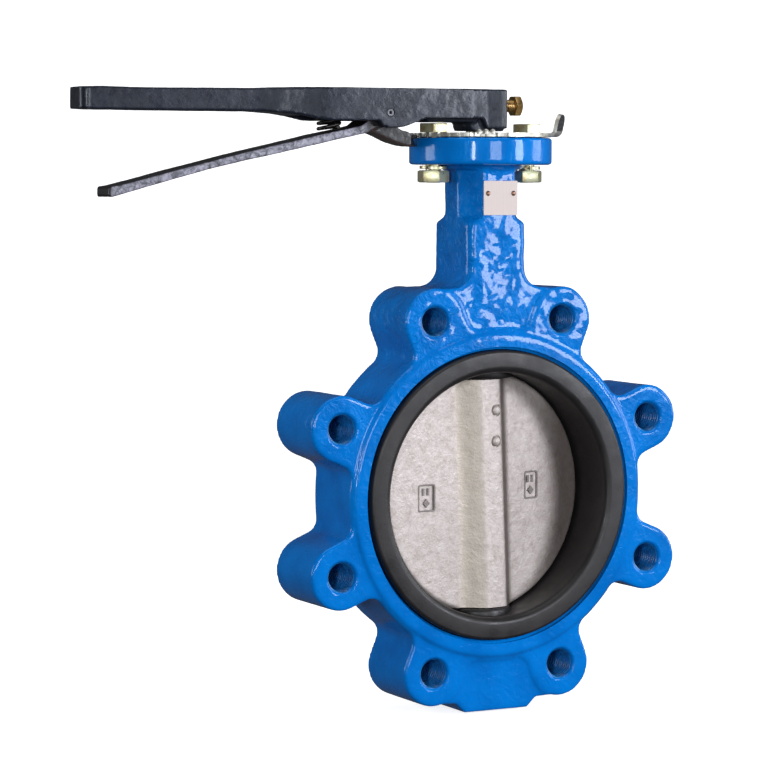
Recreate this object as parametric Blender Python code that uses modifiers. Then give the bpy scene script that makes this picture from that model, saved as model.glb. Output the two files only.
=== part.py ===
"""A lug-type butterfly valve, nominal bore 150 mm, with a hand lever and a notch plate.

The origin is the centre of the bore, halfway between the two pipe faces. +Z runs up the stem, -Y is the
front pipe face, and the lever points along -X. There the disc is one notch open: its +X edge leans back
towards +Y. Each piece is its own closed solid.
"""

import math

import bmesh
import bpy
from mathutils import Matrix, Vector

MM = 0.001
GAP = 0.3 * MM  # left between pieces that touch on the real valve

# Body casting
FACE_TO_FACE = 56 * MM
LUG_THICKNESS = 52 * MM
NECK_DEPTH = 49 * MM
BARREL_RADIUS = 105 * MM
RING_RADIUS = 103.2 * MM
LUG_COUNT = 8
LUG_CIRCLE_RADIUS = 120 * MM
LUG_RADIUS = 21 * MM
LUG_FILLET = 9 * MM
LUG_HOLE_RADIUS = 8.65 * MM
LUG_CHAMFER_RADIUS = 10.8 * MM
WEB_TOP = 131 * MM
WEB_HALF_WIDTH = 45.9 * MM
PAD_BOTTOM = 138 * MM
PAD_HALF_WIDTH = 23 * MM
NECK_HALF_WIDTH = 21 * MM
SHOULDER_BOTTOM = 172 * MM
SHOULDER_TOP = 176.5 * MM
FLANGE_RADIUS = 45.4 * MM
FLANGE_BOTTOM = 208.6 * MM
FLANGE_TOP = 226 * MM
FLANGE_BOLT_RADIUS = 34 * MM
STEM_PASSAGE_RADIUS = 12.8 * MM
STEM_SHOULDER = 103.7 * MM
RECESS_RADIUS = 15.3 * MM
RECESS_FLOOR = 221 * MM
POCKET_FLOOR = -121 * MM

# Seat liner
SEAT_OUTER_RADIUS = 92.3 * MM
SEAT_INNER_RADIUS = 77.75 * MM
SEAT_KEY_RADIUS = 96.5 * MM
SEAT_KEY_HALF_WIDTH = 10 * MM
SEAT_WIDTH = 59 * MM
SEAT_BOSS_RADIUS = 20 * MM
SEAT_BOSS_HEIGHT = 74.8 * MM
BORE_STEPS = 72

# Disc and stem
DISC_RADIUS = 77.4 * MM
DISC_OPENING = 9  # degrees past shut, about +Z, while the lever points along -X
DISC_FLAT = 73 * MM
HUB_HALF_WIDTH = 16 * MM
HUB_HALF_DEPTH = 17 * MM
STEM_RADIUS = 9.45 * MM
STEM_BOTTOM = -118 * MM
STEM_TOP = 255 * MM
STEM_SQUARE = 14 * MM
STEM_SQUARE_BOTTOM = 229.8 * MM
PIN_RADIUS = 3.5 * MM
PIN_OFFSET = 0.6 * MM
PIN_HEIGHTS = {"upper": 53.3 * MM, "lower": 33.5 * MM}

# Notch plate and its bolts
PLATE_BOTTOM = FLANGE_TOP + GAP
PLATE_THICKNESS = 2.6 * MM
PLATE_RADIUS = 45 * MM
NOTCH_ROOT_RADIUS = 42.6 * MM
NOTCH_PITCH = 9  # degrees
NOTCH_COUNT = 11
NOTCH_START = 180 - DISC_OPENING  # degrees from +X, where the tooth sits with the disc shut
EAR_DIRECTION = -46  # degrees from +X
EAR_WIDTH = 14 * MM
BOLT_RADIUS = 4.9 * MM
BOLT_ACROSS_FLATS = 17 * MM
BOLT_HEAD_HEIGHT = 4.8 * MM
NUT_HEIGHT = 7.9 * MM
WASHER_HEIGHT = 2.6 * MM

# Name plate
NAME_PLATE_SIZE = (24.5 * MM, 0.6 * MM, 21.8 * MM)
NAME_PLATE_CENTRE = (0.7 * MM, -25.1 * MM, 188 * MM)
RIVET_SPACING = 18.3 * MM
RIVET_HEIGHT = 190.9 * MM

# Lever, latch and spring
LEVER_END = -275.8 * MM
LEVER_TOP = 256.6 * MM
LEVER_GRIP_HALF_WIDTH = 12.4 * MM
LEVER_HEAD_HALF_WIDTH = 18 * MM
LEVER_HEAD_BOTTOM = 235 * MM
LEVER_WALL_BOTTOM = 237.8 * MM
LEVER_TAIL = 13.8 * MM
HUB_BLOCK_BOTTOM = 230 * MM
CHANNEL_HALF_WIDTH = 13 * MM
CHANNEL_CEILING = 249 * MM
PIVOT = (-73.5 * MM, 240.9 * MM)  # X and Z of the latch pin
PIVOT_PIN_RADIUS = 2.5 * MM
LOBE_RADIUS = 9.3 * MM
SET_BOLT_HEIGHT = 246.3 * MM
SET_BOLT_RADIUS = 4 * MM
LATCH_HALF_WIDTH = 11.3 * MM
LATCH_LEG_HALF_WIDTH = 8 * MM
LATCH_TOOTH_HALF_WIDTH = 1.4 * MM
SPRING_X = -107.5 * MM
SPRING_RADIUS = 6.2 * MM
SPRING_WIRE_RADIUS = 1.1 * MM
SPRING_BOTTOM = 232 * MM
SPRING_TURNS = 4.5

UPRIGHT = Matrix.Rotation(math.radians(90), 4, "X")  # stands a drawing on XZ, its thickness along Y
ALONG_X = Matrix.Rotation(math.radians(90), 4, "Y")


# ---------------------------------------------------------------- scene, materials and object helpers


def clear_scene():
    for obj in list(bpy.data.objects):
        bpy.data.objects.remove(obj)


def new_collection(name):
    collection = bpy.data.collections.new(name)
    bpy.context.scene.collection.children.link(collection)
    return collection


def new_material(name, colour, roughness, metallic=0.0):
    material = bpy.data.materials.new(name)
    material.use_nodes = True
    shader = material.node_tree.nodes["Principled BSDF"]
    shader.inputs["Base Color"].default_value = (*colour, 1.0)
    shader.inputs["Roughness"].default_value = roughness
    shader.inputs["Metallic"].default_value = metallic
    material.diffuse_color = (*colour, 1.0)
    return material


def add_part(name, mesh, material, parent=None):
    """A visible piece of the valve. The mesh is in world coordinates, and the parent's origin is its pivot."""
    mesh.name = name
    mesh.materials.clear()
    mesh.materials.append(material)
    mesh.shade_smooth()
    mesh.set_sharp_from_angle(angle=math.radians(35))
    obj = bpy.data.objects.new(name, mesh)
    PARTS.objects.link(obj)
    if parent is not None:
        obj.parent = parent
        obj.location = -parent.location
    return obj


def add_pivot(name, location):
    pivot = bpy.data.objects.new(name, None)
    pivot.location = location
    pivot.empty_display_size = 0.02
    PARTS.objects.link(pivot)
    return pivot


def boolean(obj, mesh, operation):
    """Applies one more solid to obj as a Boolean modifier, and keeps the other solid as a hidden helper."""
    helper = bpy.data.objects.new(f"{obj.name}_{operation.lower()}", mesh)
    helper.hide_render = True
    helper.display_type = "WIRE"
    CUTTERS.objects.link(helper)
    if obj.parent is not None:
        helper.parent = obj.parent
        helper.location = -obj.parent.location
    modifier = obj.modifiers.new(operation.title(), "BOOLEAN")
    modifier.object = helper
    modifier.operation = operation
    modifier.solver = "EXACT"


def cut(obj, *meshes):
    for mesh in meshes:
        boolean(obj, mesh, "DIFFERENCE")


def join(obj, *meshes):
    for mesh in meshes:
        boolean(obj, mesh, "UNION")


# ---------------------------------------------------------------- shape helpers


def arc(centre, radius, start, end, steps):
    """Points on a circle from start to end degrees, both ends included."""
    angles = [math.radians(start + (end - start) * i / steps) for i in range(steps + 1)]
    return [(centre[0] + radius * math.cos(a), centre[1] + radius * math.sin(a)) for a in angles]


def turned(points, degrees):
    """The same points turned round the origin."""
    c, s = math.cos(math.radians(degrees)), math.sin(math.radians(degrees))
    return [(c * a - s * b, s * a + c * b) for a, b in points]


def mesh_of(obj):
    """The evaluated, welded mesh of a helper object, which is then removed."""
    bpy.context.scene.collection.objects.link(obj)
    bpy.context.view_layer.update()
    evaluated = obj.evaluated_get(bpy.context.evaluated_depsgraph_get())
    mesh = bpy.data.meshes.new_from_object(evaluated)
    bpy.data.objects.remove(obj)
    shape = bmesh.new()
    shape.from_mesh(mesh)
    bmesh.ops.remove_doubles(shape, verts=shape.verts, dist=1e-6)
    bmesh.ops.recalc_face_normals(shape, faces=shape.faces)
    shape.to_mesh(mesh)
    shape.free()
    return mesh


def prism(outline, low, high, matrix=None):
    """A flat closed outline on XY, thickened from low to high along Z and then placed by the matrix."""
    curve = bpy.data.curves.new("outline", "CURVE")
    curve.dimensions = "2D"
    curve.fill_mode = "BOTH"
    curve.extrude = (high - low) / 2
    spline = curve.splines.new("POLY")
    spline.points.add(len(outline) - 1)
    for point, (a, b) in zip(spline.points, outline):
        point.co = (a, b, 0, 1)
    spline.use_cyclic_u = True
    mesh = mesh_of(bpy.data.objects.new("outline", curve))
    mesh.transform(Matrix.Translation((0, 0, (low + high) / 2)))
    if matrix is not None:
        mesh.transform(matrix)
    return mesh


def side_prism(outline, half_width):
    """An outline given in X and Z, thickened to both sides of the XZ plane."""
    return prism(outline, -half_width, half_width, UPRIGHT)


def lathe(profile, steps, matrix=None, ring=False):
    """A profile at +X, running down its outer side, turned round Z by a Screw modifier."""
    mesh = bpy.data.meshes.new("profile")
    edges = [(i, i + 1) for i in range(len(profile) - 1)]
    if ring:
        edges.append((len(profile) - 1, 0))
    mesh.from_pydata([(r, 0, z) for r, z in profile], edges, [])
    obj = bpy.data.objects.new("profile", mesh)
    screw = obj.modifiers.new("Screw", "SCREW")
    screw.steps = steps
    screw.render_steps = steps
    screw.use_merge_vertices = True
    screw.merge_threshold = 1e-5
    mesh = mesh_of(obj)
    if matrix is not None:
        mesh.transform(matrix)
    return mesh


def cylinder(radius, low, high, steps=24, matrix=None, turn=0.0):
    """A cylinder along Z, or with few steps a regular prism, its first corner turned by some degrees."""
    shape = bmesh.new()
    place = Matrix.Translation((0, 0, (low + high) / 2)) @ Matrix.Rotation(math.radians(turn), 4, "Z")
    bmesh.ops.create_cone(
        shape, cap_ends=True, segments=steps, radius1=radius, radius2=radius, depth=high - low, matrix=place
    )
    mesh = bpy.data.meshes.new("cylinder")
    shape.to_mesh(mesh)
    shape.free()
    if matrix is not None:
        mesh.transform(matrix)
    return mesh


def box(low, high):
    shape = bmesh.new()
    size = Vector(high) - Vector(low)
    place = Matrix.Translation((Vector(low) + Vector(high)) / 2) @ Matrix.Diagonal((*size, 1))
    bmesh.ops.create_cube(shape, size=1, matrix=place)
    mesh = bpy.data.meshes.new("box")
    shape.to_mesh(mesh)
    shape.free()
    return mesh


def sleeve(outer, inner, low, high, steps=24):
    return lathe([(inner, high), (outer, high), (outer, low), (inner, low)], steps, ring=True)


def hex_radius(across_flats):
    return across_flats / 2 / math.cos(math.radians(30))


def corner_section(half_width, half_depth, corner_x, corner_y, roundness, height):
    """A rectangle on XY with its corners cut off (roundness 0) or rounded (1), for a loft along Z."""
    steps = 4
    points = []
    for sign_x, sign_y in ((1, 1), (-1, 1), (-1, -1), (1, -1)):
        quarter = []
        for i in range(steps + 1):
            share = i / steps
            angle = share * math.pi / 2
            across = (1 - roundness) * (1 - share) + roundness * math.cos(angle)
            along = (1 - roundness) * share + roundness * math.sin(angle)
            x = half_width - corner_x + corner_x * across
            y = half_depth - corner_y + corner_y * along
            quarter.append((sign_x * x, sign_y * y, height))
        points += quarter if sign_x == sign_y else reversed(quarter)
    return points


def loft(sections):
    """A closed skin through sections of equal point count, each running anticlockwise seen from above."""
    shape = bmesh.new()
    rings = [[shape.verts.new(point) for point in section] for section in sections]
    count = len(rings[0])
    for lower, upper in zip(rings, rings[1:]):
        for i in range(count):
            j = (i + 1) % count
            shape.faces.new((lower[i], lower[j], upper[j], upper[i]))
    shape.faces.new(list(reversed(rings[0])))
    shape.faces.new(rings[-1])
    bmesh.ops.recalc_face_normals(shape, faces=shape.faces)
    mesh = bpy.data.meshes.new("loft")
    shape.to_mesh(mesh)
    shape.free()
    return mesh


# ---------------------------------------------------------------- fixed pieces


def lug_ring_outline():
    """The body's outline in X and Z: eight straight-sided lugs, filleted into a round barrel."""
    reach = LUG_RADIUS + LUG_FILLET
    fillet_x = math.sqrt((BARREL_RADIUS + LUG_FILLET) ** 2 - reach**2)
    lean = math.degrees(math.atan2(reach, fillet_x))
    pitch = 360 / LUG_COUNT
    one = arc((fillet_x, -reach), LUG_FILLET, 180 - lean, 90, 4)
    one += arc((LUG_CIRCLE_RADIUS, 0), LUG_RADIUS, -90, 90, 12)
    one += arc((fillet_x, reach), LUG_FILLET, -90, lean - 180, 4)
    one += arc((0, 0), BARREL_RADIUS, lean, pitch - lean, 3)[1:-1]
    outline = []
    for k in range(LUG_COUNT):
        outline += turned(one, pitch * (k + 0.5))
    return outline


def neck_loft():
    """The web between the top lugs, the flared neck, its shoulder and the octagonal upper neck."""
    depth = NECK_DEPTH / 2
    flare = 11 * MM
    sections = [corner_section(WEB_HALF_WIDTH, depth, MM, MM, 0, z) for z in (95 * MM, WEB_TOP)]
    for share in (0, 0.25, 0.5, 0.75, 1):
        angle = share * math.pi / 2
        half_width = NECK_HALF_WIDTH + flare * (1 - math.sin(angle))
        corner = (1 + 5 * share) * MM
        height = WEB_TOP + 0.3 * MM + flare * (1 - math.cos(angle))
        sections.append(corner_section(half_width, depth, corner, corner, 1, height))
    upper = (NECK_HALF_WIDTH, depth, 10 * MM, 16.25 * MM, 0)
    sections.append(corner_section(NECK_HALF_WIDTH, depth, 6 * MM, 6 * MM, 1, SHOULDER_BOTTOM))
    sections.append(corner_section(*upper, SHOULDER_TOP))
    sections.append(corner_section(*upper, FLANGE_BOTTOM + 3 * MM))
    return loft(sections)


def pad_loft():
    """The web between the bottom lugs and the flat pad below it."""
    depth = NECK_DEPTH / 2
    steps = (
        (-PAD_BOTTOM, PAD_HALF_WIDTH),
        (-WEB_TOP - 0.4 * MM, PAD_HALF_WIDTH + 6.5 * MM),
        (-WEB_TOP, WEB_HALF_WIDTH),
        (-95 * MM, WEB_HALF_WIDTH),
    )
    return loft([corner_section(half_width, depth, MM, MM, 0, z) for z, half_width in steps])


def lug_hole():
    """One tapped hole's plain bore, chamfered at both mouths, along Y."""
    face = LUG_THICKNESS / 2
    depth = LUG_CHAMFER_RADIUS - LUG_HOLE_RADIUS
    over = MM
    profile = [
        (0, face + over),
        (LUG_CHAMFER_RADIUS + over, face + over),
        (LUG_HOLE_RADIUS, face - depth),
        (LUG_HOLE_RADIUS, depth - face),
        (LUG_CHAMFER_RADIUS + over, -face - over),
        (0, -face - over),
    ]
    return lathe(profile, 24, UPRIGHT)


def bore_cutter():
    """The room for the seat liner: a plain bore with a wide groove in its middle and relieved mouths."""
    radius = SEAT_OUTER_RADIUS + GAP
    key = SEAT_KEY_RADIUS + GAP
    mouth = SEAT_OUTER_RADIUS + 1.5 * MM
    groove = SEAT_KEY_HALF_WIDTH + GAP
    relief = FACE_TO_FACE / 2 - 2.4 * MM
    over = FACE_TO_FACE / 2 + MM
    half = [(0, over), (mouth, over), (mouth, relief), (radius, relief - MM), (radius, groove), (key, groove)]
    profile = half + [(r, -z) for r, z in reversed(half)]
    return lathe(profile, BORE_STEPS, UPRIGHT)


def stem_passage():
    """The stepped hole from the flange's recess down the neck and across the bore to a blind pocket."""
    profile = [
        (0, FLANGE_TOP + MM),
        (RECESS_RADIUS, FLANGE_TOP + MM),
        (RECESS_RADIUS, RECESS_FLOOR),
        (STEM_PASSAGE_RADIUS, RECESS_FLOOR),
        (STEM_PASSAGE_RADIUS, STEM_SHOULDER),
        (STEM_RADIUS + 2 * GAP, STEM_SHOULDER),
        (STEM_RADIUS + 2 * GAP, 40 * MM),
        (STEM_PASSAGE_RADIUS, 40 * MM),
        (STEM_PASSAGE_RADIUS, POCKET_FLOOR),
        (0, POCKET_FLOOR),
    ]
    return lathe(profile, 32)


def rivet_places():
    x = NAME_PLATE_CENTRE[0]
    return {"left": x - RIVET_SPACING / 2, "right": x + RIVET_SPACING / 2}


def bolt_places():
    return {"left": -FLANGE_BOLT_RADIUS, "right": FLANGE_BOLT_RADIUS}


def rivet_hole(x):
    place = Matrix.Translation((x, 0, RIVET_HEIGHT)) @ UPRIGHT
    return cylinder(1.3 * MM, 19 * MM, 27 * MM, 12, place)


def make_body(material):
    half = LUG_THICKNESS / 2
    body = add_part("body_casting", side_prism(lug_ring_outline(), half), material)
    face = FACE_TO_FACE / 2
    ring = [(0, face), (RING_RADIUS - MM, face), (RING_RADIUS, face - MM)]
    join(body, lathe(ring + [(r, -z) for r, z in reversed(ring)], BORE_STEPS, UPRIGHT))
    join(body, neck_loft(), pad_loft())
    flange = [
        (0, FLANGE_TOP),
        (FLANGE_RADIUS - MM, FLANGE_TOP),
        (FLANGE_RADIUS, FLANGE_TOP - MM),
        (FLANGE_RADIUS, FLANGE_BOTTOM + MM),
        (FLANGE_RADIUS - MM, FLANGE_BOTTOM),
        (0, FLANGE_BOTTOM),
    ]
    join(body, lathe(flange, 64))
    for k in range(LUG_COUNT):
        angle = math.radians(360 / LUG_COUNT * (k + 0.5))
        hole = lug_hole()
        place = (LUG_CIRCLE_RADIUS * math.cos(angle), 0, LUG_CIRCLE_RADIUS * math.sin(angle))
        hole.transform(Matrix.Translation(place))
        cut(body, hole)
    for x in bolt_places().values():
        place = Matrix.Translation((x, 0, 0))
        cut(body, cylinder(BOLT_RADIUS + 2 * GAP, FLANGE_BOTTOM - MM, FLANGE_TOP + MM, 20, place))
    for x in rivet_places().values():
        cut(body, rivet_hole(x))
    cut(body, stem_passage(), bore_cutter())


def make_seat(material):
    """A moulded liner with a key in its middle, rounded lips, and a flat boss round each stem hole."""
    half = SEAT_WIDTH / 2
    outer_corner = 2.5 * MM
    lip = 5 * MM
    upper = arc((SEAT_INNER_RADIUS + lip, half - lip), lip, 180, 90, 5)
    upper += arc((SEAT_OUTER_RADIUS - outer_corner, half - outer_corner), outer_corner, 90, 0, 3)
    upper += [(SEAT_OUTER_RADIUS, SEAT_KEY_HALF_WIDTH), (SEAT_KEY_RADIUS, SEAT_KEY_HALF_WIDTH)]
    profile = upper + [(r, -z) for r, z in reversed(upper)]
    seat = add_part("seat_liner", lathe(profile, BORE_STEPS, UPRIGHT, ring=True), material)
    middle = (SEAT_INNER_RADIUS + SEAT_OUTER_RADIUS) / 2
    for side in (1, -1):
        low, high = sorted((side * SEAT_BOSS_HEIGHT, side * middle))
        join(seat, cylinder(SEAT_BOSS_RADIUS, low, high, 32))
    for side in (1, -1):
        low, high = sorted((side * 70 * MM, side * 100 * MM))
        cut(seat, cylinder(STEM_RADIUS + GAP, low, high, 32))


def make_bushes(material, seal_material):
    inner = STEM_RADIUS + GAP
    outer = STEM_PASSAGE_RADIUS - GAP
    spans = {
        "stem_bush_top": (197, 220.6),
        "stem_bush_middle": (104, 190.4),
        "stem_bush_bottom": (-120.6, -100),
    }
    for name, (low, high) in spans.items():
        add_part(name, sleeve(outer, inner, low * MM, high * MM), material)
    cord = (outer - inner) / 2
    for name, height in (("stem_seal_upper", 195.2 * MM), ("stem_seal_lower", 192.2 * MM)):
        section = arc((inner + cord, height), cord, 180, -180, 10)[:-1]
        add_part(name, lathe(section, 24, ring=True), seal_material)


def make_retainers(material):
    thrust = sleeve(RECESS_RADIUS - 0.5 * MM, STEM_RADIUS + GAP, RECESS_FLOOR + GAP, RECESS_FLOOR + 1.3 * MM)
    add_part("thrust_washer", thrust, material)


def make_circlip(material, parent):
    """An open ring in the stem's groove, which keeps the stem from being blown out."""
    inner, outer, opening = 8.65 * MM, 12.5 * MM, 28
    outline = arc((0, 0), outer, 90 + opening, 450 - opening, 20)
    outline += arc((0, 0), inner, 450 - opening, 90 + opening, 20)
    add_part("stem_circlip", prism(outline, 222.7 * MM, 223.8 * MM), material, parent)


def make_notch_plate(material):
    """A round plate with a notched sector in its rim, a bent-up stop ear and two bolt holes."""
    low, high = PLATE_BOTTOM, PLATE_BOTTOM + PLATE_THICKNESS
    gap, root_gap = 2.6, 2.3  # half a notch in degrees, at the rim and at its root
    outline = []
    for k in range(NOTCH_COUNT):
        middle = NOTCH_START + k * NOTCH_PITCH
        for radius, offset in (
            (PLATE_RADIUS, -gap),
            (NOTCH_ROOT_RADIUS, -root_gap),
            (NOTCH_ROOT_RADIUS, root_gap),
            (PLATE_RADIUS, gap),
        ):
            outline += turned([(radius, 0)], middle + offset)
    rest = arc((0, 0), PLATE_RADIUS, middle + gap, 360 + NOTCH_START - gap, 48)
    plate = add_part("notch_plate", prism(outline + rest[1:-1], low, high), material)

    shrink = 0.1 * MM
    turn = Matrix.Rotation(math.radians(EAR_DIRECTION), 4, "Z")
    half = EAR_WIDTH / 2
    bend_reach = 52.2 * MM
    tab = box((38 * MM, -half, low + shrink), (bend_reach, half, high - shrink))
    tab.transform(turn)
    height, tip = 13.6 * MM, 5 * MM
    tongue = [(-half, 0), (half, 0)]
    tongue += arc((half - tip, height - tip), tip, 0, 90, 4)
    tongue += arc((tip - half, height - tip), tip, 90, 180, 4)
    stand = Matrix(((0, 0, 1, 0), (1, 0, 0, 0), (0, 1, 0, 0), (0, 0, 0, 1)))
    lean = Matrix.Rotation(math.radians(12), 4, "Y")
    place = turn @ Matrix.Translation((bend_reach - 1.6 * MM, 0, low + shrink / 2)) @ lean @ stand
    join(plate, tab, prism(tongue, 0, PLATE_THICKNESS - 2 * shrink, place))
    cut(plate, cylinder(12 * MM, low - MM, high + MM, 32))
    for x in bolt_places().values():
        cut(plate, cylinder(BOLT_RADIUS + 2 * GAP, low - MM, high + MM, 20, Matrix.Translation((x, 0, 0))))


def make_plate_fasteners(material):
    """A hexagon bolt down through the plate and flange on each side, with a washer and a nut below."""
    plate_top = PLATE_BOTTOM + PLATE_THICKNESS
    washer_top = FLANGE_BOTTOM - GAP
    nut_top = washer_top - WASHER_HEIGHT - GAP
    nut_bottom = nut_top - NUT_HEIGHT
    nut_turns = {"left": 23.7, "right": 45.6}
    hexagon = hex_radius(BOLT_ACROSS_FLATS)
    for side, x in bolt_places().items():
        place = Matrix.Translation((x, 0, 0))
        head_low = plate_top + GAP
        head = cylinder(hexagon, head_low, head_low + BOLT_HEAD_HEIGHT, 6, place, -27.4)
        bolt = add_part(f"plate_bolt_{side}", head, material)
        join(bolt, cylinder(BOLT_RADIUS, nut_bottom - GAP, head_low + MM, 20, place))
        washer = sleeve(8.8 * MM, BOLT_RADIUS + GAP, washer_top - WASHER_HEIGHT, washer_top)
        washer.transform(place)
        add_part(f"plate_washer_{side}", washer, material)
        nut = add_part(
            f"plate_nut_{side}", cylinder(hexagon, nut_bottom, nut_top, 6, place, nut_turns[side]), material
        )
        cut(nut, cylinder(BOLT_RADIUS + GAP, nut_bottom - MM, nut_top + MM, 20, place))


def make_name_plate(material):
    half = Vector(NAME_PLATE_SIZE) / 2
    centre = Vector(NAME_PLATE_CENTRE)
    plate = add_part("name_plate", box(centre - half, centre + half), material)
    back = -(NAME_PLATE_CENTRE[1] - NAME_PLATE_SIZE[1] / 2) + GAP
    for side, x in rivet_places().items():
        cut(plate, rivet_hole(x))
        place = Matrix.Translation((x, 0, RIVET_HEIGHT)) @ UPRIGHT
        rivet = add_part(f"name_plate_rivet_{side}", cylinder(1.7 * MM, back, back + 0.8 * MM, 16, place), material)
        join(rivet, cylinder(MM, 20 * MM, back + 0.4 * MM, 12, place))


# ---------------------------------------------------------------- pieces that turn with the stem


def make_disc(material, parent):
    """A dished plate with a hub along the stem that slopes off to both sides, flat at both stem ends."""
    face = [(0, 8 * MM), (30 * MM, 7 * MM), (76.6 * MM, 4.2 * MM), (DISC_RADIUS, 2.4 * MM)]
    profile = face + [(r, -z) for r, z in reversed(face)]
    disc = add_part("disc", swung(lathe(profile, BORE_STEPS, UPRIGHT)), material, parent)
    quarter = [
        (HUB_HALF_WIDTH + 3.5 * MM, 7.2 * MM),
        (HUB_HALF_WIDTH, 9.2 * MM),
        (HUB_HALF_WIDTH - 5 * MM, HUB_HALF_DEPTH - 2.2 * MM),
        (HUB_HALF_WIDTH - 8.5 * MM, HUB_HALF_DEPTH),
    ]
    front = quarter + [(-x, y) for x, y in reversed(quarter)]
    outline = front + [(-x, -y) for x, y in front]
    join(disc, swung(prism(outline, -DISC_FLAT, DISC_FLAT)))
    for side in (1, -1):
        low, high = sorted((side * DISC_FLAT, side * (DISC_RADIUS + 5 * MM)))
        cut(disc, swung(box((-40 * MM, -40 * MM, low), (40 * MM, 40 * MM, high))))
    cut(disc, cylinder(STEM_RADIUS + GAP, -80 * MM, 80 * MM, 32))
    for height in PIN_HEIGHTS.values():
        cut(disc, pin_hole(height))


def swung(mesh):
    """A disc piece drawn with the disc shut, turned to where it stands with the lever along -X."""
    mesh.transform(Matrix.Rotation(math.radians(DISC_OPENING), 4, "Z"))
    return mesh


def pin_hole(height):
    place = Matrix.Translation((PIN_OFFSET, 0, height)) @ UPRIGHT
    return swung(cylinder(PIN_RADIUS + GAP, -25 * MM, 25 * MM, 16, place))


def make_stem(material, parent):
    """A round shaft with a circlip groove and a square top end, cross-drilled for the two pins."""
    groove_radius = 8.3 * MM
    profile = [
        (0, STEM_SQUARE_BOTTOM),
        (STEM_RADIUS, STEM_SQUARE_BOTTOM),
        (STEM_RADIUS, 224.1 * MM),
        (groove_radius, 224.1 * MM),
        (groove_radius, 222.4 * MM),
        (STEM_RADIUS, 222.4 * MM),
        (STEM_RADIUS, STEM_BOTTOM + MM),
        (STEM_RADIUS - MM, STEM_BOTTOM),
        (0, STEM_BOTTOM),
    ]
    stem = add_part("stem", lathe(profile, 32), material, parent)
    half = STEM_SQUARE / 2
    short = 6.2 * MM
    corner = [(half, -short), (half, short)]
    outline = [point for k in range(4) for point in turned(corner, 90 * k)]
    join(stem, prism(outline, STEM_SQUARE_BOTTOM - 2 * MM, STEM_TOP))
    for height in PIN_HEIGHTS.values():
        cut(stem, pin_hole(height))


def make_taper_pins(material, parent):
    reach = HUB_HALF_DEPTH + 0.5 * MM
    for side, height in PIN_HEIGHTS.items():
        place = Matrix.Translation((PIN_OFFSET, 0, height)) @ UPRIGHT
        pin = swung(cylinder(PIN_RADIUS, -reach, reach, 16, place))
        add_part(f"taper_pin_{side}", pin, material, parent)


def lever_side_outline():
    """The lever seen from the side, in X and Z: a slim grip, a lobe at the latch pin and a deep tail."""
    x, z = PIVOT
    lobe_angle = math.degrees(math.asin((z - LEVER_HEAD_BOTTOM - 0.9 * MM) / LOBE_RADIUS))
    upper = [(-280, 254.4), (-226, 254.3), (-167, 254.9), (-140, 255.8), (-113, 256.2)]
    lower = [(-280, 241.1), (-154, 240.5), (-140, 239.6), (-130, 238.3), (-121, 236)]
    outline = [(a * MM, b * MM) for a, b in upper]
    outline += [(0, LEVER_TOP), (LEVER_TAIL + 5 * MM, LEVER_TOP), (LEVER_TAIL + 5 * MM, 231.8 * MM)]
    outline += [(-3.4 * MM, 231.8 * MM), (-6.7 * MM, 237 * MM), (-8.5 * MM, LEVER_WALL_BOTTOM)]
    outline += [(-48 * MM, LEVER_WALL_BOTTOM), (-66 * MM, z - LOBE_RADIUS)]
    outline += arc((x, z), LOBE_RADIUS, -90, lobe_angle - 180, 6)
    return outline + [(a * MM, b * MM) for a, b in reversed(lower)]


def lever_plan_outline():
    """The lever seen from above, in X and Y: a parallel grip, a flared head and a narrower tail."""
    grip, head = LEVER_GRIP_HALF_WIDTH, LEVER_HEAD_HALF_WIDTH
    round_end = 6 * MM
    side = arc((LEVER_END + round_end, grip - round_end), round_end, 180, 90, 4)
    side += [(-166 * MM, grip), (-140 * MM, grip + 2 * MM), (-112 * MM, head), (-15 * MM, head)]
    side += [(LEVER_TAIL - 2 * MM, 12.4 * MM), (LEVER_TAIL, 10.5 * MM)]
    return side + [(x, -y) for x, y in reversed(side)]


def make_lever(material, parent):
    half = LEVER_HEAD_HALF_WIDTH + MM
    lever = add_part("lever_handle", side_prism(lever_side_outline(), half), material, parent)
    plan = prism(lever_plan_outline(), 225 * MM, 260 * MM)
    boolean(lever, plan, "INTERSECT")
    back, front, side, corner = -17 * MM, 12.2 * MM, 12.2 * MM, 5 * MM
    hub = arc((front - corner, side - corner), corner, 0, 90, 3)
    hub += arc((back + corner, side - corner), corner, 90, 180, 3)
    hub += [(a, -b) for a, b in reversed(hub)]
    join(lever, prism(hub, HUB_BLOCK_BOTTOM, 245 * MM))
    join(lever, box((-46 * MM, -14 * MM, LEVER_HEAD_BOTTOM + 0.4 * MM), (-10 * MM, 14 * MM, 245 * MM)))
    cut(lever, box((-134 * MM, -CHANNEL_HALF_WIDTH, 225 * MM), (-42 * MM, CHANNEL_HALF_WIDTH, CHANNEL_CEILING)))
    half = STEM_SQUARE / 2 + GAP
    cut(lever, box((-half, -half, 225 * MM), (half, half, 260 * MM)))
    along = Matrix.Translation((0, 0, SET_BOLT_HEIGHT)) @ ALONG_X
    cut(lever, cylinder(SET_BOLT_RADIUS + GAP, 5 * MM, 20 * MM, 20, along))
    across = Matrix.Translation((PIVOT[0], 0, PIVOT[1])) @ UPRIGHT
    cut(lever, cylinder(PIVOT_PIN_RADIUS + GAP, -25 * MM, 25 * MM, 20, across))


def make_set_bolt(material, parent):
    along = Matrix.Translation((0, 0, SET_BOLT_HEIGHT)) @ ALONG_X
    head_low, head_high = 22.9 * MM, 27.8 * MM
    head = cylinder(hex_radius(12.2 * MM), head_low, head_high, 6, along)
    bolt = add_part("lever_set_bolt", head, material, parent)
    join(bolt, cylinder(SET_BOLT_RADIUS, STEM_SQUARE / 2 + GAP, head_low + MM, 20, along))


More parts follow.
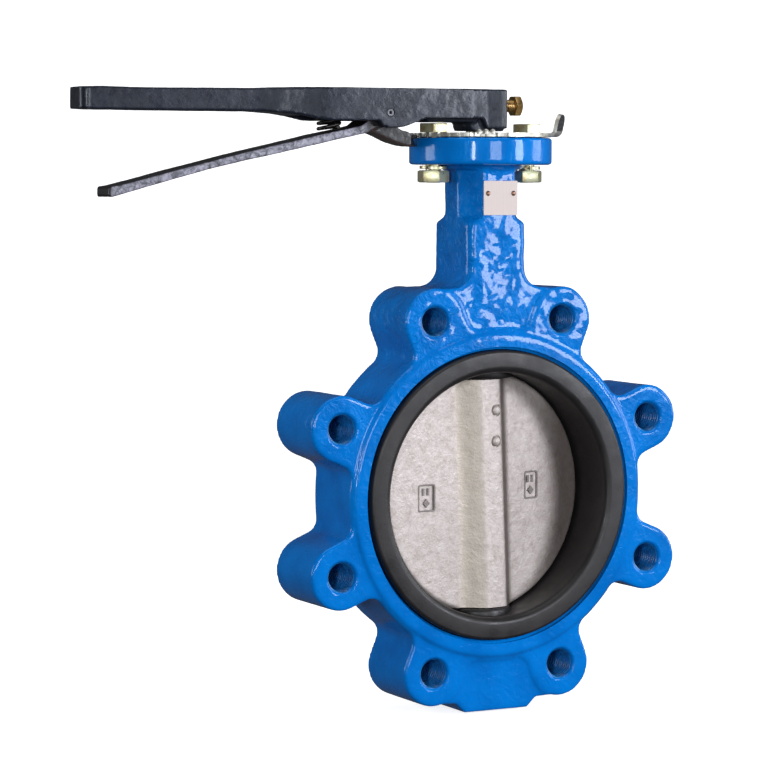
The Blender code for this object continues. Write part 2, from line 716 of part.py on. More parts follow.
def make_pivot_pin(material, parent):
    across = Matrix.Translation((PIVOT[0], 0, PIVOT[1])) @ UPRIGHT
    reach = LEVER_HEAD_HALF_WIDTH - 0.4 * MM
    add_part("latch_pivot_pin", cylinder(PIVOT_PIN_RADIUS, -reach, reach, 20, across), material, parent)


def make_spring(material, parent):
    """A compression spring that stands on the latch and pushes on the lever's channel ceiling."""
    top = CHANNEL_CEILING - GAP - SPRING_WIRE_RADIUS
    per_turn = 14
    count = int(SPRING_TURNS * per_turn)
    curve = bpy.data.curves.new("latch_spring", "CURVE")
    curve.dimensions = "3D"
    curve.bevel_depth = SPRING_WIRE_RADIUS
    curve.bevel_resolution = 2
    curve.use_fill_caps = True
    spline = curve.splines.new("POLY")
    spline.points.add(count)
    for i, point in enumerate(spline.points):
        angle = 2 * math.pi * i / per_turn
        height = SPRING_BOTTOM + (top - SPRING_BOTTOM) * i / count
        x = SPRING_X + SPRING_RADIUS * math.cos(angle)
        point.co = (x, SPRING_RADIUS * math.sin(angle), height, 1)
    add_part("latch_spring", mesh_of(bpy.data.objects.new("coil", curve)), material, parent)


# ---------------------------------------------------------------- the latch


def latch_bar_outline():
    """The latch's long bar in X and Z, from its thin tip up to the eye round the pin."""
    lower = [(-256.8, 188.9), (-215.5, 199.9), (-191.6, 206.1), (-167.5, 211.4), (-130.8, 219), (-86.8, 228.2)]
    upper = [(-90, 232.9), (-118.4, 227), (-157.1, 218.6), (-191.6, 210.5), (-215.5, 204.8), (-256.8, 195)]
    outline = [(-258.2 * MM, 190.3 * MM)] + [(a * MM, b * MM) for a, b in lower]
    outline += arc(PIVOT, 7.6 * MM, -95, 190, 14)
    return outline + [(a * MM, b * MM) for a, b in upper] + [(-258.2 * MM, 193.6 * MM)]


def latch_leg_outline():
    """The short leg in X and Z, which curves down and forwards from the eye to a slanting nose."""
    under = [(-84, 229.5), (-78, 228.3), (-71.5, 225.4), (-64.2, 222.4), (-57, 220.6), (-49, 219.9), (-47, 220.5)]
    over = [(-55.3, 228.8), (-56.5, 229.4), (-60, 230), (-63.5, 231.8), (-66.6, 235), (-73.5, 241), (-80, 236)]
    return [(a * MM, b * MM) for a, b in under + over]


def latch_leg_plan():
    """The leg from above, in X and Y: it narrows to the nose."""
    side = [(-90 * MM, LATCH_LEG_HALF_WIDTH), (-54 * MM, LATCH_LEG_HALF_WIDTH)]
    side += [(-46 * MM, 1.6 * MM)]
    return side + [(x, -y) for x, y in reversed(side)]


def make_latch(material, parent):
    """A long finger bar and a short nosed leg on one eye, with a thin tooth that enters the notches."""
    leg = side_prism(latch_leg_outline(), LATCH_LEG_HALF_WIDTH + MM)
    latch = add_part("latch_lever", leg, material, parent)
    boolean(latch, prism(latch_leg_plan(), 210 * MM, 250 * MM), "INTERSECT")
    join(latch, side_prism(latch_bar_outline(), LATCH_HALF_WIDTH))
    tooth = [(-56, 227.4), (-54, 224.6), (-46, 225), (-45.6, 225.5), (-45.6, 227.2), (-46, 227.6)]
    join(latch, side_prism([(a * MM, b * MM) for a, b in tooth], LATCH_TOOTH_HALF_WIDTH))
    across = Matrix.Translation((PIVOT[0], 0, PIVOT[1])) @ UPRIGHT
    cut(latch, cylinder(PIVOT_PIN_RADIUS + GAP, -25 * MM, 25 * MM, 20, across))


# ---------------------------------------------------------------- assembly


def build():
    enamel = new_material("blue_enamel", (0.004, 0.16, 0.62), 0.22)
    rubber = new_material("black_rubber", (0.03, 0.03, 0.035), 0.6)
    steel = new_material("stainless_steel", (0.62, 0.6, 0.57), 0.3, 1.0)
    cast_steel = new_material("cast_stainless", (0.66, 0.62, 0.57), 0.42, 1.0)
    polymer = new_material("bearing_polymer", (0.75, 0.72, 0.65), 0.5)
    zinc = new_material("bright_zinc", (0.75, 0.76, 0.74), 0.3, 1.0)
    yellow_zinc = new_material("yellow_zinc", (0.72, 0.62, 0.36), 0.3, 1.0)
    brass = new_material("brass", (0.62, 0.42, 0.16), 0.35, 1.0)
    tin_plate = new_material("bare_plate", (0.85, 0.76, 0.72), 0.35, 1.0)
    black = new_material("black_enamel", (0.02, 0.024, 0.035), 0.25)
    spring_steel = new_material("spring_steel", (0.06, 0.06, 0.06), 0.4, 1.0)

    make_body(enamel)
    make_seat(rubber)
    make_bushes(polymer, rubber)
    make_retainers(steel)
    make_notch_plate(zinc)
    make_plate_fasteners(yellow_zinc)
    make_name_plate(tin_plate)

    stem_axis = add_pivot("stem_axis", (0, 0, 0))
    make_disc(cast_steel, stem_axis)
    make_stem(steel, stem_axis)
    make_taper_pins(cast_steel, stem_axis)
    make_circlip(spring_steel, stem_axis)
    make_lever(black, stem_axis)
    make_set_bolt(brass, stem_axis)
    make_pivot_pin(steel, stem_axis)
    make_spring(spring_steel, stem_axis)

    latch_axis = add_pivot("latch_axis", (PIVOT[0], 0, PIVOT[1]))
    latch_axis.parent = stem_axis
    make_latch(black, latch_axis)


clear_scene()
PARTS = new_collection("butterfly_valve")
CUTTERS = new_collection("cutters")
build()
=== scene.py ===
import math

import bmesh
import bpy
from mathutils import Matrix, Vector, noise


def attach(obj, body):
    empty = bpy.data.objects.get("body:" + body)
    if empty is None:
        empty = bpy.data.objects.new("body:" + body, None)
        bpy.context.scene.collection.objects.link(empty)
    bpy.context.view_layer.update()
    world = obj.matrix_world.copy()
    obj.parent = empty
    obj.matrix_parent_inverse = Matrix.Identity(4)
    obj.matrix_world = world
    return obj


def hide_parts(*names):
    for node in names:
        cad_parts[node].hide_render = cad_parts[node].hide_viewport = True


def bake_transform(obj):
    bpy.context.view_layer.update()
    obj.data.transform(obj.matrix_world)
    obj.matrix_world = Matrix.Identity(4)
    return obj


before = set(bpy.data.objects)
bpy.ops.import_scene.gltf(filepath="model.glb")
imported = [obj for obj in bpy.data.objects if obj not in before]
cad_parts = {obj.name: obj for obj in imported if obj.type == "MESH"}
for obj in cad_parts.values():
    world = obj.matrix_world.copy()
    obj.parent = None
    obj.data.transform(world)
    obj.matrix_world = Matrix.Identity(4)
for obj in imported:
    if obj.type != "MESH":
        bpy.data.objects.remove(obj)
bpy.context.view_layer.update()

MM = 0.001
UPRIGHT = Matrix.Rotation(math.radians(90), 4, "X")
ALONG_X = Matrix.Rotation(math.radians(90), 4, "Y")
DISC_TURN = Matrix.Rotation(math.radians(9), 4, "Z")
PIVOT = (-73.5 * MM, 240.9 * MM)
PIN_X = 0.6 * MM
PIN_HEIGHTS = {"upper": 53.3 * MM, "lower": 33.5 * MM}
PIVOT_HOLE_RADIUS = 2.8 * MM
SET_BOLT_HEIGHT = 246.3 * MM
PLATE_BOLT_X = {"left": -34 * MM, "right": 34 * MM}
EAR_DIRECTION = -46  # degrees about +Z, from +X
LUG_CIRCLE_RADIUS = 120 * MM
CASTING_HALF_DEPTH = 24.5 * MM
CAMERA_AZIMUTH = math.radians(27.42)
DISC_MARKS = {"left": (-47, -0.8, 6.7, 8.8), "right": (37.4, 2.7, 5.8, 9.1)}  # centre and half size, mm
BODY, STEM, LATCH = "valve_body", "stem_and_lever", "latch"


# ---------------------------------------------------------------- mesh helpers


def arc(centre, radius, start, end, steps):
    angles = [math.radians(start + (end - start) * i / steps) for i in range(steps + 1)]
    return [(centre[0] + radius * math.cos(a), centre[1] + radius * math.sin(a)) for a in angles]


def turned(points, degrees):
    c, s = math.cos(math.radians(degrees)), math.sin(math.radians(degrees))
    return [(c * a - s * b, s * a + c * b) for a, b in points]


def scaled(points):
    return [(a * MM, b * MM) for a, b in points]


def mesh_of(shape, matrix=None):
    mesh = bpy.data.meshes.new("shape")
    bmesh.ops.recalc_face_normals(shape, faces=shape.faces)
    shape.to_mesh(mesh)
    shape.free()
    if matrix is not None:
        mesh.transform(matrix)
    return mesh


def prism(outline, low, high, matrix=None):
    shape = bmesh.new()
    face = shape.faces.new([shape.verts.new((a, b, low)) for a, b in outline])
    top = bmesh.ops.extrude_face_region(shape, geom=[face])["geom"]
    moved = [v for v in top if isinstance(v, bmesh.types.BMVert)]
    bmesh.ops.translate(shape, verts=moved, vec=(0, 0, high - low))
    return mesh_of(shape, matrix)


def side_prism(outline, half_width):
    return prism(outline, -half_width, half_width, UPRIGHT)


def lathe(profile, steps, matrix=None, ring=False):
    """A profile of (radius, height) turned round Z. A radius of 0 makes a pole."""
    shape = bmesh.new()
    rows = []
    for radius, height in profile:
        if radius < 1e-9:
            rows.append([shape.verts.new((0, 0, height))])
            continue
        turn = [2 * math.pi * k / steps for k in range(steps)]
        rows.append([shape.verts.new((radius * math.cos(a), radius * math.sin(a), height)) for a in turn])
    pairs = list(zip(rows, rows[1:]))
    if ring:
        pairs.append((rows[-1], rows[0]))
    for upper, lower in pairs:
        for k in range(steps):
            j = (k + 1) % steps
            corners = [upper[k % len(upper)], lower[k % len(lower)]]
            corners += [lower[j % len(lower)], upper[j % len(upper)]]
            unique = list(dict.fromkeys(corners))
            if len(unique) > 2:
                shape.faces.new(unique)
    return mesh_of(shape, matrix)


def cylinder(radius, low, high, steps=48, matrix=None):
    return lathe([(0, high), (radius, high), (radius, low), (0, low)], steps, matrix)


def box(low, high):
    shape = bmesh.new()
    size = Vector(high) - Vector(low)
    place = Matrix.Translation((Vector(low) + Vector(high)) / 2) @ Matrix.Diagonal((*size, 1))
    bmesh.ops.create_cube(shape, size=1, matrix=place)
    return mesh_of(shape)


def tube(shape, rings, capped=True):
    """Quads between neighbouring rings of vertices, and a face over each end."""
    count = len(rings[0])
    for a, b in zip(rings, rings[1:]):
        for k in range(count):
            j = (k + 1) % count
            shape.faces.new((a[k], a[j], b[j], b[k]))
    if capped:
        shape.faces.new(list(reversed(rings[0])))
        shape.faces.new(rings[-1])


def loft(sections):
    shape = bmesh.new()
    tube(shape, [[shape.verts.new(point) for point in section] for section in sections])
    return mesh_of(shape)


def gathered(*meshes):
    """Several closed meshes as one, still overlapping."""
    shape = bmesh.new()
    for mesh in meshes:
        shape.from_mesh(mesh)
    mesh = bpy.data.meshes.new("gathered")
    shape.to_mesh(mesh)
    shape.free()
    return mesh


def with_modifiers(mesh, *settings):
    """The mesh after some modifiers, each given as (type, {property: value})."""
    obj = bpy.data.objects.new("work", mesh)
    bpy.context.scene.collection.objects.link(obj)
    for kind, values in settings:
        modifier = obj.modifiers.new(kind, kind)
        for name, value in values.items():
            setattr(modifier, name, value)
    bpy.context.view_layer.update()
    result = bpy.data.meshes.new_from_object(obj.evaluated_get(bpy.context.evaluated_depsgraph_get()))
    bpy.data.objects.remove(obj)
    return result


def bevelled(mesh, width):
    return with_modifiers(mesh, ("BEVEL", {"width": width, "segments": 2, "limit_method": "ANGLE"}))


def boolean(mesh, other, operation="DIFFERENCE", solver="MANIFOLD"):
    tool = bpy.data.objects.new("tool", other)
    bpy.context.scene.collection.objects.link(tool)
    result = with_modifiers(mesh, ("BOOLEAN", {"operation": operation, "object": tool, "solver": solver}))
    bpy.data.objects.remove(tool)
    return result


def softened(mesh, voxel, passes):
    """Overlapping closed shapes melted into one casting with rounded edges."""
    return with_modifiers(
        mesh,
        ("REMESH", {"mode": "VOXEL", "voxel_size": voxel, "adaptivity": 0.0}),
        ("SMOOTH", {"factor": 0.5, "iterations": passes}),
    )


def rippled(mesh, size, height, seed, where=None):
    """Moves the skin in and out a little, like an uneven casting under thick paint."""
    shift = Vector((seed * 7.3, seed * 3.1, seed * 5.7))
    normals = [v.normal.copy() for v in mesh.vertices]
    for v, normal in zip(mesh.vertices, normals):
        amount = height if where is None else height * where(v.co)
        if amount > 0:
            v.co += normal * amount * noise.fractal(v.co / size + shift, 0.8, 2.1, 3)
    mesh.update()
    return mesh


def add(name, mesh, body, material, slot, *stands_for, sharp=35):
    mesh.name = name
    mesh.materials.clear()
    mesh.materials.append(material)
    mesh.shade_smooth()
    if sharp:
        mesh.set_sharp_from_angle(angle=math.radians(sharp))
    obj = bpy.data.objects.new(name, mesh)
    bpy.context.scene.collection.objects.link(obj)
    if body:
        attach(obj, body)
    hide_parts(*stands_for)
    return obj


# ---------------------------------------------------------------- materials


class Surface:
    """A Principled material with a few short ways to add noise, bump and colour changes."""

    def __init__(self, name, colour, roughness, metallic=0.0, **sockets):
        self.material = bpy.data.materials.new(name)
        self.material.use_nodes = True
        self.tree = self.material.node_tree
        self.shader = self.tree.nodes["Principled BSDF"]
        self.set("Base Color", (*colour, 1))
        self.set("Roughness", roughness)
        self.set("Metallic", metallic)
        for key, value in sockets.items():
            self.set(key.replace("_", " "), value)
        self.coords = self.tree.nodes.new("ShaderNodeTexCoord").outputs["Object"]
        self.normal = None

    def set(self, socket, value):
        self.shader.inputs[socket].default_value = value

    def node(self, kind, **values):
        made = self.tree.nodes.new(kind)
        for key, value in values.items():
            if key in made.inputs:
                made.inputs[key].default_value = value
            else:
                setattr(made, key, value)
        return made

    def link(self, source, target):
        self.tree.links.new(source, target)

    def noise(self, per_metre, detail, roughness=0.5, distortion=0.0, stretch=(1, 1, 1)):
        mapping = self.node("ShaderNodeMapping")
        mapping.inputs["Scale"].default_value = stretch
        self.link(self.coords, mapping.inputs["Vector"])
        made = self.node("ShaderNodeTexNoise", Scale=per_metre, Detail=detail, Roughness=roughness)
        made.inputs["Distortion"].default_value = distortion
        self.link(mapping.outputs["Vector"], made.inputs["Vector"])
        return made.outputs["Fac"]

    def ramp(self, value, low, high, to_low, to_high):
        made = self.node("ShaderNodeMapRange")
        made.inputs["From Min"].default_value = low
        made.inputs["From Max"].default_value = high
        made.inputs["To Min"].default_value = to_low
        made.inputs["To Max"].default_value = to_high
        self.link(value, made.inputs["Value"])
        return made.outputs["Result"]

    def bump(self, height, distance, strength):
        made = self.node("ShaderNodeBump", Distance=distance)
        if isinstance(strength, float):
            made.inputs["Strength"].default_value = strength
        else:
            self.link(strength, made.inputs["Strength"])
        self.link(height, made.inputs["Height"])
        if self.normal is not None:
            self.link(self.normal, made.inputs["Normal"])
        self.normal = made.outputs["Normal"]
        self.link(self.normal, self.shader.inputs["Normal"])

    def colours(self, value, *stops):
        made = self.node("ShaderNodeValToRGB")
        elements = made.color_ramp.elements
        while len(elements) < len(stops):
            elements.new(0.5)
        for element, (place, colour) in zip(elements, stops):
            element.position = place
            element.color = (*colour, 1)
        self.link(value, made.inputs["Fac"])
        self.link(made.outputs["Color"], self.shader.inputs["Base Color"])

    def tint(self, attribute, colour, amount):
        """Blends the colour so far towards another one, by a value stored on the mesh."""
        stored = self.node("ShaderNodeAttribute", attribute_name=attribute).outputs["Fac"]
        mix = self.node("ShaderNodeMix", data_type="RGBA")
        self.link(self.ramp(stored, 0, 1, 0, amount), mix.inputs["Factor"])
        colours = [socket for socket in mix.inputs if socket.type == "RGBA"]
        self.link(self.shader.inputs["Base Color"].links[0].from_socket, colours[0])
        colours[1].default_value = (*colour, 1)
        blended = [socket for socket in mix.outputs if socket.type == "RGBA"][0]
        self.link(blended, self.shader.inputs["Base Color"])

    def roughness(self, value, low, high, to_low, to_high):
        self.link(self.ramp(value, low, high, to_low, to_high), self.shader.inputs["Roughness"])

    def height_mask(self, low, high):
        """Full strength from high up to the flange, and weaker below low and on the flange."""
        flange_low, flange_high = 0.203, 0.209
        split = self.node("ShaderNodeSeparateXYZ")
        self.link(self.coords, split.inputs["Vector"])
        rising = self.ramp(split.outputs["Z"], low, high, 0.2, 1.0)
        falling = self.ramp(split.outputs["Z"], flange_low, flange_high, 1.0, 0.15)
        both = self.node("ShaderNodeMath", operation="MULTIPLY")
        self.link(rising, both.inputs[0])
        self.link(falling, both.inputs[1])
        return both.outputs["Value"]


def blue_enamel():
    s = Surface("blue_enamel", (0.0, 0.18, 0.62), 0.25, Coat_Weight=0.4, Coat_Roughness=0.06, Coat_IOR=1.5)
    s.set("Specular IOR Level", 0.15)
    s.set("Specular Tint", (0.25, 0.6, 1, 1))
    wide = s.noise(45, 3, 0.5)
    s.colours(wide, (0.3, (0.0, 0.145, 0.52)), (0.55, (0.0, 0.18, 0.62)), (0.8, (0.0, 0.21, 0.7)))
    s.roughness(s.noise(160, 2), 0.3, 0.7, 0.16, 0.3)
    s.bump(s.noise(125, 4, 0.5, 1.6), 0.002, s.height_mask(0.02, 0.13))
    s.bump(s.noise(420, 2, 0.5, 0.3), 0.0002, 0.6)
    return s.material


def black_rubber():
    s = Surface("black_rubber", (0.012, 0.011, 0.012), 0.42)
    s.set("Specular IOR Level", 0.42)
    s.colours(s.noise(60, 4), (0.3, (0.009, 0.0082, 0.009)), (0.7, (0.017, 0.0152, 0.0155)))
    s.roughness(s.noise(90, 4), 0.3, 0.7, 0.34, 0.5)
    s.bump(s.noise(900, 3), 0.00006, 0.6)
    s.bump(s.noise(70, 2), 0.0005, 0.25)
    return s.material


def cast_stainless(name="cast_stainless", shade=1.0):
    s = Surface(name, (0.52, 0.465, 0.435), 0.55, 0.45)
    # A shade below 1 gives a darker copy of this finish, painted shade for the raised marks on the disc.
    stops = ((0.25, (0.38, 0.325, 0.295)), (0.5, (0.54, 0.48, 0.45)), (0.75, (0.62, 0.565, 0.54)))
    shaded = [(place, tuple(c * shade for c in colour)) for place, colour in stops]
    s.colours(s.noise(170, 6, 0.72, 0.4), *shaded)
    # A lighter olive tone stored on the hub's left flank: painted light lifting a face turned away from the
    # lamps.
    s.tint("lit_left_flank", (0.66, 0.59, 0.48), 0.6)
    # Darker brown stored on the disc: a painted shadow from the bore's wall towards the right rim, and a
    # darker band at the hub's right foot.
    s.tint("rim_shadow_and_dark_foot", (0.075, 0.052, 0.042), 0.9)
    s.roughness(s.noise(400, 4, 0.6), 0.3, 0.7, 0.46, 0.62)
    s.bump(s.noise(560, 4, 0.65), 0.0005, 0.6)
    s.bump(s.noise(110, 3), 0.0009, 0.3)
    return s.material


def black_enamel():
    s = Surface("black_enamel", (0.014, 0.016, 0.024), 0.34, Coat_Weight=0.1, Coat_Roughness=0.12)
    s.set("Specular IOR Level", 0.24)
    s.set("Specular Tint", (0.88, 0.93, 1, 1))
    s.colours(
        s.noise(60, 6, 0.7),
        (0.32, (0.007, 0.0085, 0.014)),
        (0.55, (0.014, 0.017, 0.027)),
        (0.78, (0.034, 0.036, 0.046)),
    )
    s.roughness(s.noise(220, 4, 0.6), 0.3, 0.72, 0.24, 0.42)
    s.bump(s.noise(260, 3, 0.5, 0.6), 0.0003, 0.4)
    s.bump(s.noise(800, 3, 0.6), 0.00012, 0.5)
    s.tint("bare", (0.3, 0.3, 0.33), 0.7)
    return s.material


def latch_enamel():
    s = Surface("latch_enamel", (0.03, 0.028, 0.028), 0.35, Coat_Weight=0.1, Coat_Roughness=0.15)
    s.set("Specular IOR Level", 0.3)
    # Lighter mottled greys on the bar's upright side faces: painted light for the light those faces catch.
    painted_side_light = s.node("ShaderNodeAttribute", attribute_name="side_light_paint").outputs["Fac"]
    grain = s.noise(420, 5, 0.65)
    patch = s.node("ShaderNodeMath", operation="MULTIPLY")
    s.link(painted_side_light, patch.inputs[0])
    s.link(s.ramp(s.noise(210, 6, 0.75, 0.8), 0.36, 0.62, 0.2, 1.0), patch.inputs[1])
    s.colours(
        patch.outputs["Value"],
        (0.05, (0.012, 0.0115, 0.013)),
        (0.5, (0.13, 0.13, 0.16)),
        (0.95, (0.4, 0.39, 0.47)),
    )
    # Warm brown on the leg's downward faces: a painted reflection of the warm floor.
    s.tint("floor_reflection", (0.11, 0.065, 0.042), 0.85)
    s.roughness(s.noise(330, 4, 0.6), 0.3, 0.72, 0.3, 0.5)
    s.bump(grain, 0.00035, 0.5)
    return s.material


def yellow_zinc():
    s = Surface("yellow_zinc", (0.5, 0.42, 0.24), 0.4, 0.65)
    s.colours(
        s.noise(140, 3, 0.5, 1.0),
        (0.28, (0.36, 0.28, 0.14)),
        (0.42, (0.5, 0.43, 0.24)),
        (0.52, (0.47, 0.5, 0.32)),
        (0.62, (0.55, 0.5, 0.36)),
        (0.74, (0.54, 0.38, 0.33)),
    )
    s.roughness(s.noise(500, 3), 0.3, 0.7, 0.27, 0.4)
    s.bump(s.noise(700, 3), 0.0001, 0.5)
    return s.material


def bright_zinc():
    s = Surface("bright_zinc", (0.55, 0.54, 0.5), 0.38, 0.65)
    s.colours(s.noise(170, 4), (0.3, (0.42, 0.4, 0.34)), (0.7, (0.64, 0.63, 0.58)))
    # Dark slate on the stop ear's upright faces: a painted dark reflection.
    s.tint("shade", (0.035, 0.04, 0.05), 0.9)
    s.roughness(s.noise(420, 4), 0.3, 0.7, 0.3, 0.5)
    s.bump(s.noise(800, 3), 0.00012, 0.5)
    return s.material


def brass():
    s = Surface("brass", (0.55, 0.36, 0.14), 0.36, 1.0)
    s.colours(
        s.noise(220, 4, 0.6), (0.3, (0.4, 0.24, 0.08)), (0.55, (0.6, 0.4, 0.17)), (0.8, (0.76, 0.55, 0.28))
    )
    s.roughness(s.noise(600, 3), 0.3, 0.7, 0.28, 0.5)
    s.bump(s.noise(900, 3), 0.00012, 0.5)
    return s.material


def copper():
    s = Surface("copper", (0.3, 0.17, 0.12), 0.4, 0.8)
    s.colours(s.noise(900, 3), (0.3, (0.2, 0.1, 0.07)), (0.7, (0.4, 0.24, 0.17)))
    s.bump(s.noise(1500, 2), 0.00005, 0.5)
    return s.material


def bare_plate():
    s = Surface("bare_plate", (0.7, 0.6, 0.55), 0.6, 0.1)
    s.set("Specular IOR Level", 0.15)
    grain = s.noise(700, 3, 0.6, 0.0, (1, 1, 0.03))
    s.colours(grain, (0.3, (0.68, 0.59, 0.545)), (0.7, (0.73, 0.635, 0.59)))
    s.roughness(grain, 0.3, 0.7, 0.55, 0.7)
    s.bump(grain, 0.00008, 0.5)
    return s.material


def thread_paint():
    s = Surface("thread_paint", (0.004, 0.045, 0.14), 0.22)
    s.colours(s.noise(300, 3), (0.3, (0.005, 0.07, 0.21)), (0.7, (0.012, 0.2, 0.52)))
    s.roughness(s.noise(500, 3), 0.3, 0.7, 0.18, 0.4)
    s.bump(s.noise(900, 2), 0.0001, 0.4)
    return s.material


def turned_steel():
    s = Surface("turned_steel", (0.4, 0.37, 0.32), 0.36, 1.0)
    grain = s.noise(300, 3, 0.5, 0.0, (0.3, 0.3, 4))
    s.colours(grain, (0.3, (0.32, 0.29, 0.25)), (0.7, (0.46, 0.43, 0.38)))
    s.roughness(grain, 0.3, 0.7, 0.3, 0.45)
    s.bump(grain, 0.00006, 0.5)
    return s.material


def pale_polymer():
    s = Surface("pale_polymer", (0.72, 0.68, 0.58), 0.5)
    s.colours(s.noise(200, 3), (0.3, (0.66, 0.62, 0.52)), (0.7, (0.76, 0.72, 0.63)))
    s.bump(s.noise(800, 2), 0.00005, 0.4)
    return s.material


def dark_spring():
    s = Surface("dark_spring", (0.03, 0.028, 0.028), 0.4, 0.9)
    s.colours(s.noise(300, 4), (0.3, (0.015, 0.014, 0.014)), (0.7, (0.06, 0.055, 0.05)))
    s.bump(s.noise(900, 3), 0.0001, 0.5)
    return s.material


# ---------------------------------------------------------------- body casting


def lug_ring_outline():
    """The body seen along the pipe: a round barrel with eight lugs, filleted into it."""
    barrel, lug, fillet = 104.9 * MM, 20.8 * MM, 9 * MM
    reach = lug + fillet
    fillet_x = math.sqrt((barrel + fillet) ** 2 - reach**2)
    lean = math.degrees(math.atan2(reach, fillet_x))
    one = arc((fillet_x, -reach), fillet, 180 - lean, 90, 10)
    one += arc((LUG_CIRCLE_RADIUS, 0), lug, -90, 90, 40)
    one += arc((fillet_x, reach), fillet, -90, lean - 180, 10)
    one += arc((0, 0), barrel, lean, 45 - lean, 10)[1:-1]
    outline = []
    for k in range(8):
        outline += turned(one, 45 * (k + 0.5))
    return outline


def corner_section(half_width, half_depth, corner_x, corner_y, roundness, height):
    """A rectangle at one height whose corners go from straight cuts (roundness 0) to arcs (roundness 1)."""
    steps = 8
    points = []
    for sign_x, sign_y in ((1, 1), (-1, 1), (-1, -1), (1, -1)):
        quarter = []
        for i in range(steps + 1):
            share = i / steps
            angle = share * math.pi / 2
            across = (1 - roundness) * (1 - share) + roundness * math.cos(angle)
            along = (1 - roundness) * share + roundness * math.sin(angle)
            x = half_width - corner_x + corner_x * across
            y = half_depth - corner_y + corner_y * along
            quarter.append((sign_x * x, sign_y * y, height))
        points += quarter if sign_x == sign_y else reversed(quarter)
    return points


def neck_loft():
    depth, web, top, flare = CASTING_HALF_DEPTH, 45.9 * MM, 131 * MM, 11 * MM
    sections = [corner_section(web, depth, MM, MM, 0, z) for z in (95 * MM, top)]
    for k in range(11):
        angle = k / 10 * math.pi / 2
        half_width = 21 * MM + flare * (1 - math.sin(angle))
        corner = (1 + 5 * k / 10) * MM
        height = top + 0.3 * MM + flare * (1 - math.cos(angle))
        sections.append(corner_section(half_width, depth, corner, corner, 1, height))
    upper = (21 * MM, depth, 10 * MM, 16.25 * MM, 0)
    sections.append(corner_section(21 * MM, depth, 6 * MM, 6 * MM, 1, 172 * MM))
    sections.append(corner_section(*upper, 176.5 * MM))
    sections.append(corner_section(*upper, 212 * MM))
    return loft(sections)


def pad_loft():
    steps = ((-137.7, 22.8), (-131.4, 29.5), (-131, 45.9), (-95, 45.9))
    return loft([corner_section(w * MM, CASTING_HALF_DEPTH, MM, MM, 0, z * MM) for z, w in steps])


def lug_places():
    angles = [math.radians(45 * k + 22.5) for k in range(8)]
    return [(LUG_CIRCLE_RADIUS * math.cos(a), LUG_CIRCLE_RADIUS * math.sin(a)) for a in angles]


def lug_hole():
    face, bore, mouth = 26 * MM, 9.4 * MM, 10.9 * MM
    over = MM
    profile = [(0, face + over), (mouth + over, face + over), (bore, face - (mouth - bore))]
    profile += [(bore, -(face - (mouth - bore))), (mouth + over, -face - over), (0, -face - over)]
    return lathe(profile, 64, UPRIGHT)


def thread_sleeve(minor, major, outer, pitch, low, high):
    """The wall of a tapped hole: a real helical V groove between two plain ends."""
    steps = 48
    turns = (high - low) / pitch
    rows = int(turns * 8)
    shape = bmesh.new()
    grid = []
    for i in range(rows + 1):
        height = low + (high - low) * i / rows
        row = []
        for k in range(steps):
            phase = ((height - low) / pitch - k / steps) % 1
            depth = 1 - abs(2 * phase - 1)
            radius = minor + (major - minor) * min(1, max(0, depth * 1.25 - 0.12))
            a = 2 * math.pi * k / steps
            row.append(shape.verts.new((radius * math.cos(a), radius * math.sin(a), height)))
        grid.append(row)
    for z in (high, low):
        turn = [2 * math.pi * k / steps for k in range(steps)]
        grid.append([shape.verts.new((outer * math.cos(a), outer * math.sin(a), z)) for a in turn])
    tube(shape, grid + grid[:1], capped=False)
    return mesh_of(shape)


def make_body(material, thread_material):
    face = 28 * MM
    ring = arc((102.6 * MM - 1.2 * MM, face - 1.2 * MM), 1.2 * MM, 90, 0, 4)
    ring = [(60 * MM, face)] + ring + [(r, -z) for r, z in reversed(ring)] + [(60 * MM, -face)]
    edge_x, edge = 44.2 * MM, 1.2 * MM
    flange_edge = arc((edge_x, 224.7 * MM), edge, 90, 0, 3) + arc((edge_x, 210 * MM), edge, 0, -90, 3)
    flange = [(0, 225.9 * MM)] + flange_edge + [(29 * MM, 208.6 * MM), (26 * MM, 206 * MM), (0, 206 * MM)]
    solid = gathered(
        side_prism(lug_ring_outline(), 26 * MM),
        lathe(ring, 180, UPRIGHT, ring=True),
        neck_loft(),
        pad_loft(),
        lathe(flange, 96),
    )
    casting = softened(solid, 1.25 * MM, 3)

    def unevenness(co):
        rough = min(1, max(0.15, (co.z - 20 * MM) / (120 * MM)))
        rough *= min(1, max(0.1, (207 * MM - co.z) / (12 * MM)))
        return rough if abs(co.y) < 27.4 * MM else rough * 0.4

    casting = rippled(casting, 14 * MM, 0.35 * MM, 1, unevenness)
    cuts = []
    bore = [(0, 30 * MM), (94.4 * MM, 30 * MM), (94.4 * MM, 25.6 * MM), (92.7 * MM, 24.2 * MM)]
    bore += [(92.7 * MM, 10.3 * MM), (96.9 * MM, 10.3 * MM)]
    cuts.append(lathe(bore + [(r, -z) for r, z in reversed(bore)], 240, UPRIGHT))
    for x, z in lug_places():
        hole = lug_hole()
        hole.transform(Matrix.Translation((x, 0, z)))
        cuts.append(hole)
    recess = [(0, 228), (15.3, 228), (15.3, 221), (12.8, 221), (12.8, 94), (0, 94)]
    cuts.append(lathe(scaled(recess), 64))
    cuts.append(cylinder(12.8 * MM, -121 * MM, -94 * MM))
    for x in PLATE_BOLT_X.values():
        cuts.append(cylinder(5.5 * MM, 200 * MM, 230 * MM, 32, Matrix.Translation((x, 0, 0))))
    for cutter in cuts:
        casting = boolean(casting, cutter)
    add("casting", casting, BODY, material, "blue_enamel", "body_casting", sharp=50)
    for k, (x, z) in enumerate(lug_places()):
        sleeve = thread_sleeve(8.75 * MM, 9.95 * MM, 10.3 * MM, 2.5 * MM, -24.6 * MM, 24.6 * MM)
        sleeve.transform(Matrix.Translation((x, 0, z)) @ UPRIGHT)
        add(f"lug_thread_{k + 1}", sleeve, BODY, thread_material, "blue_enamel", sharp=0)


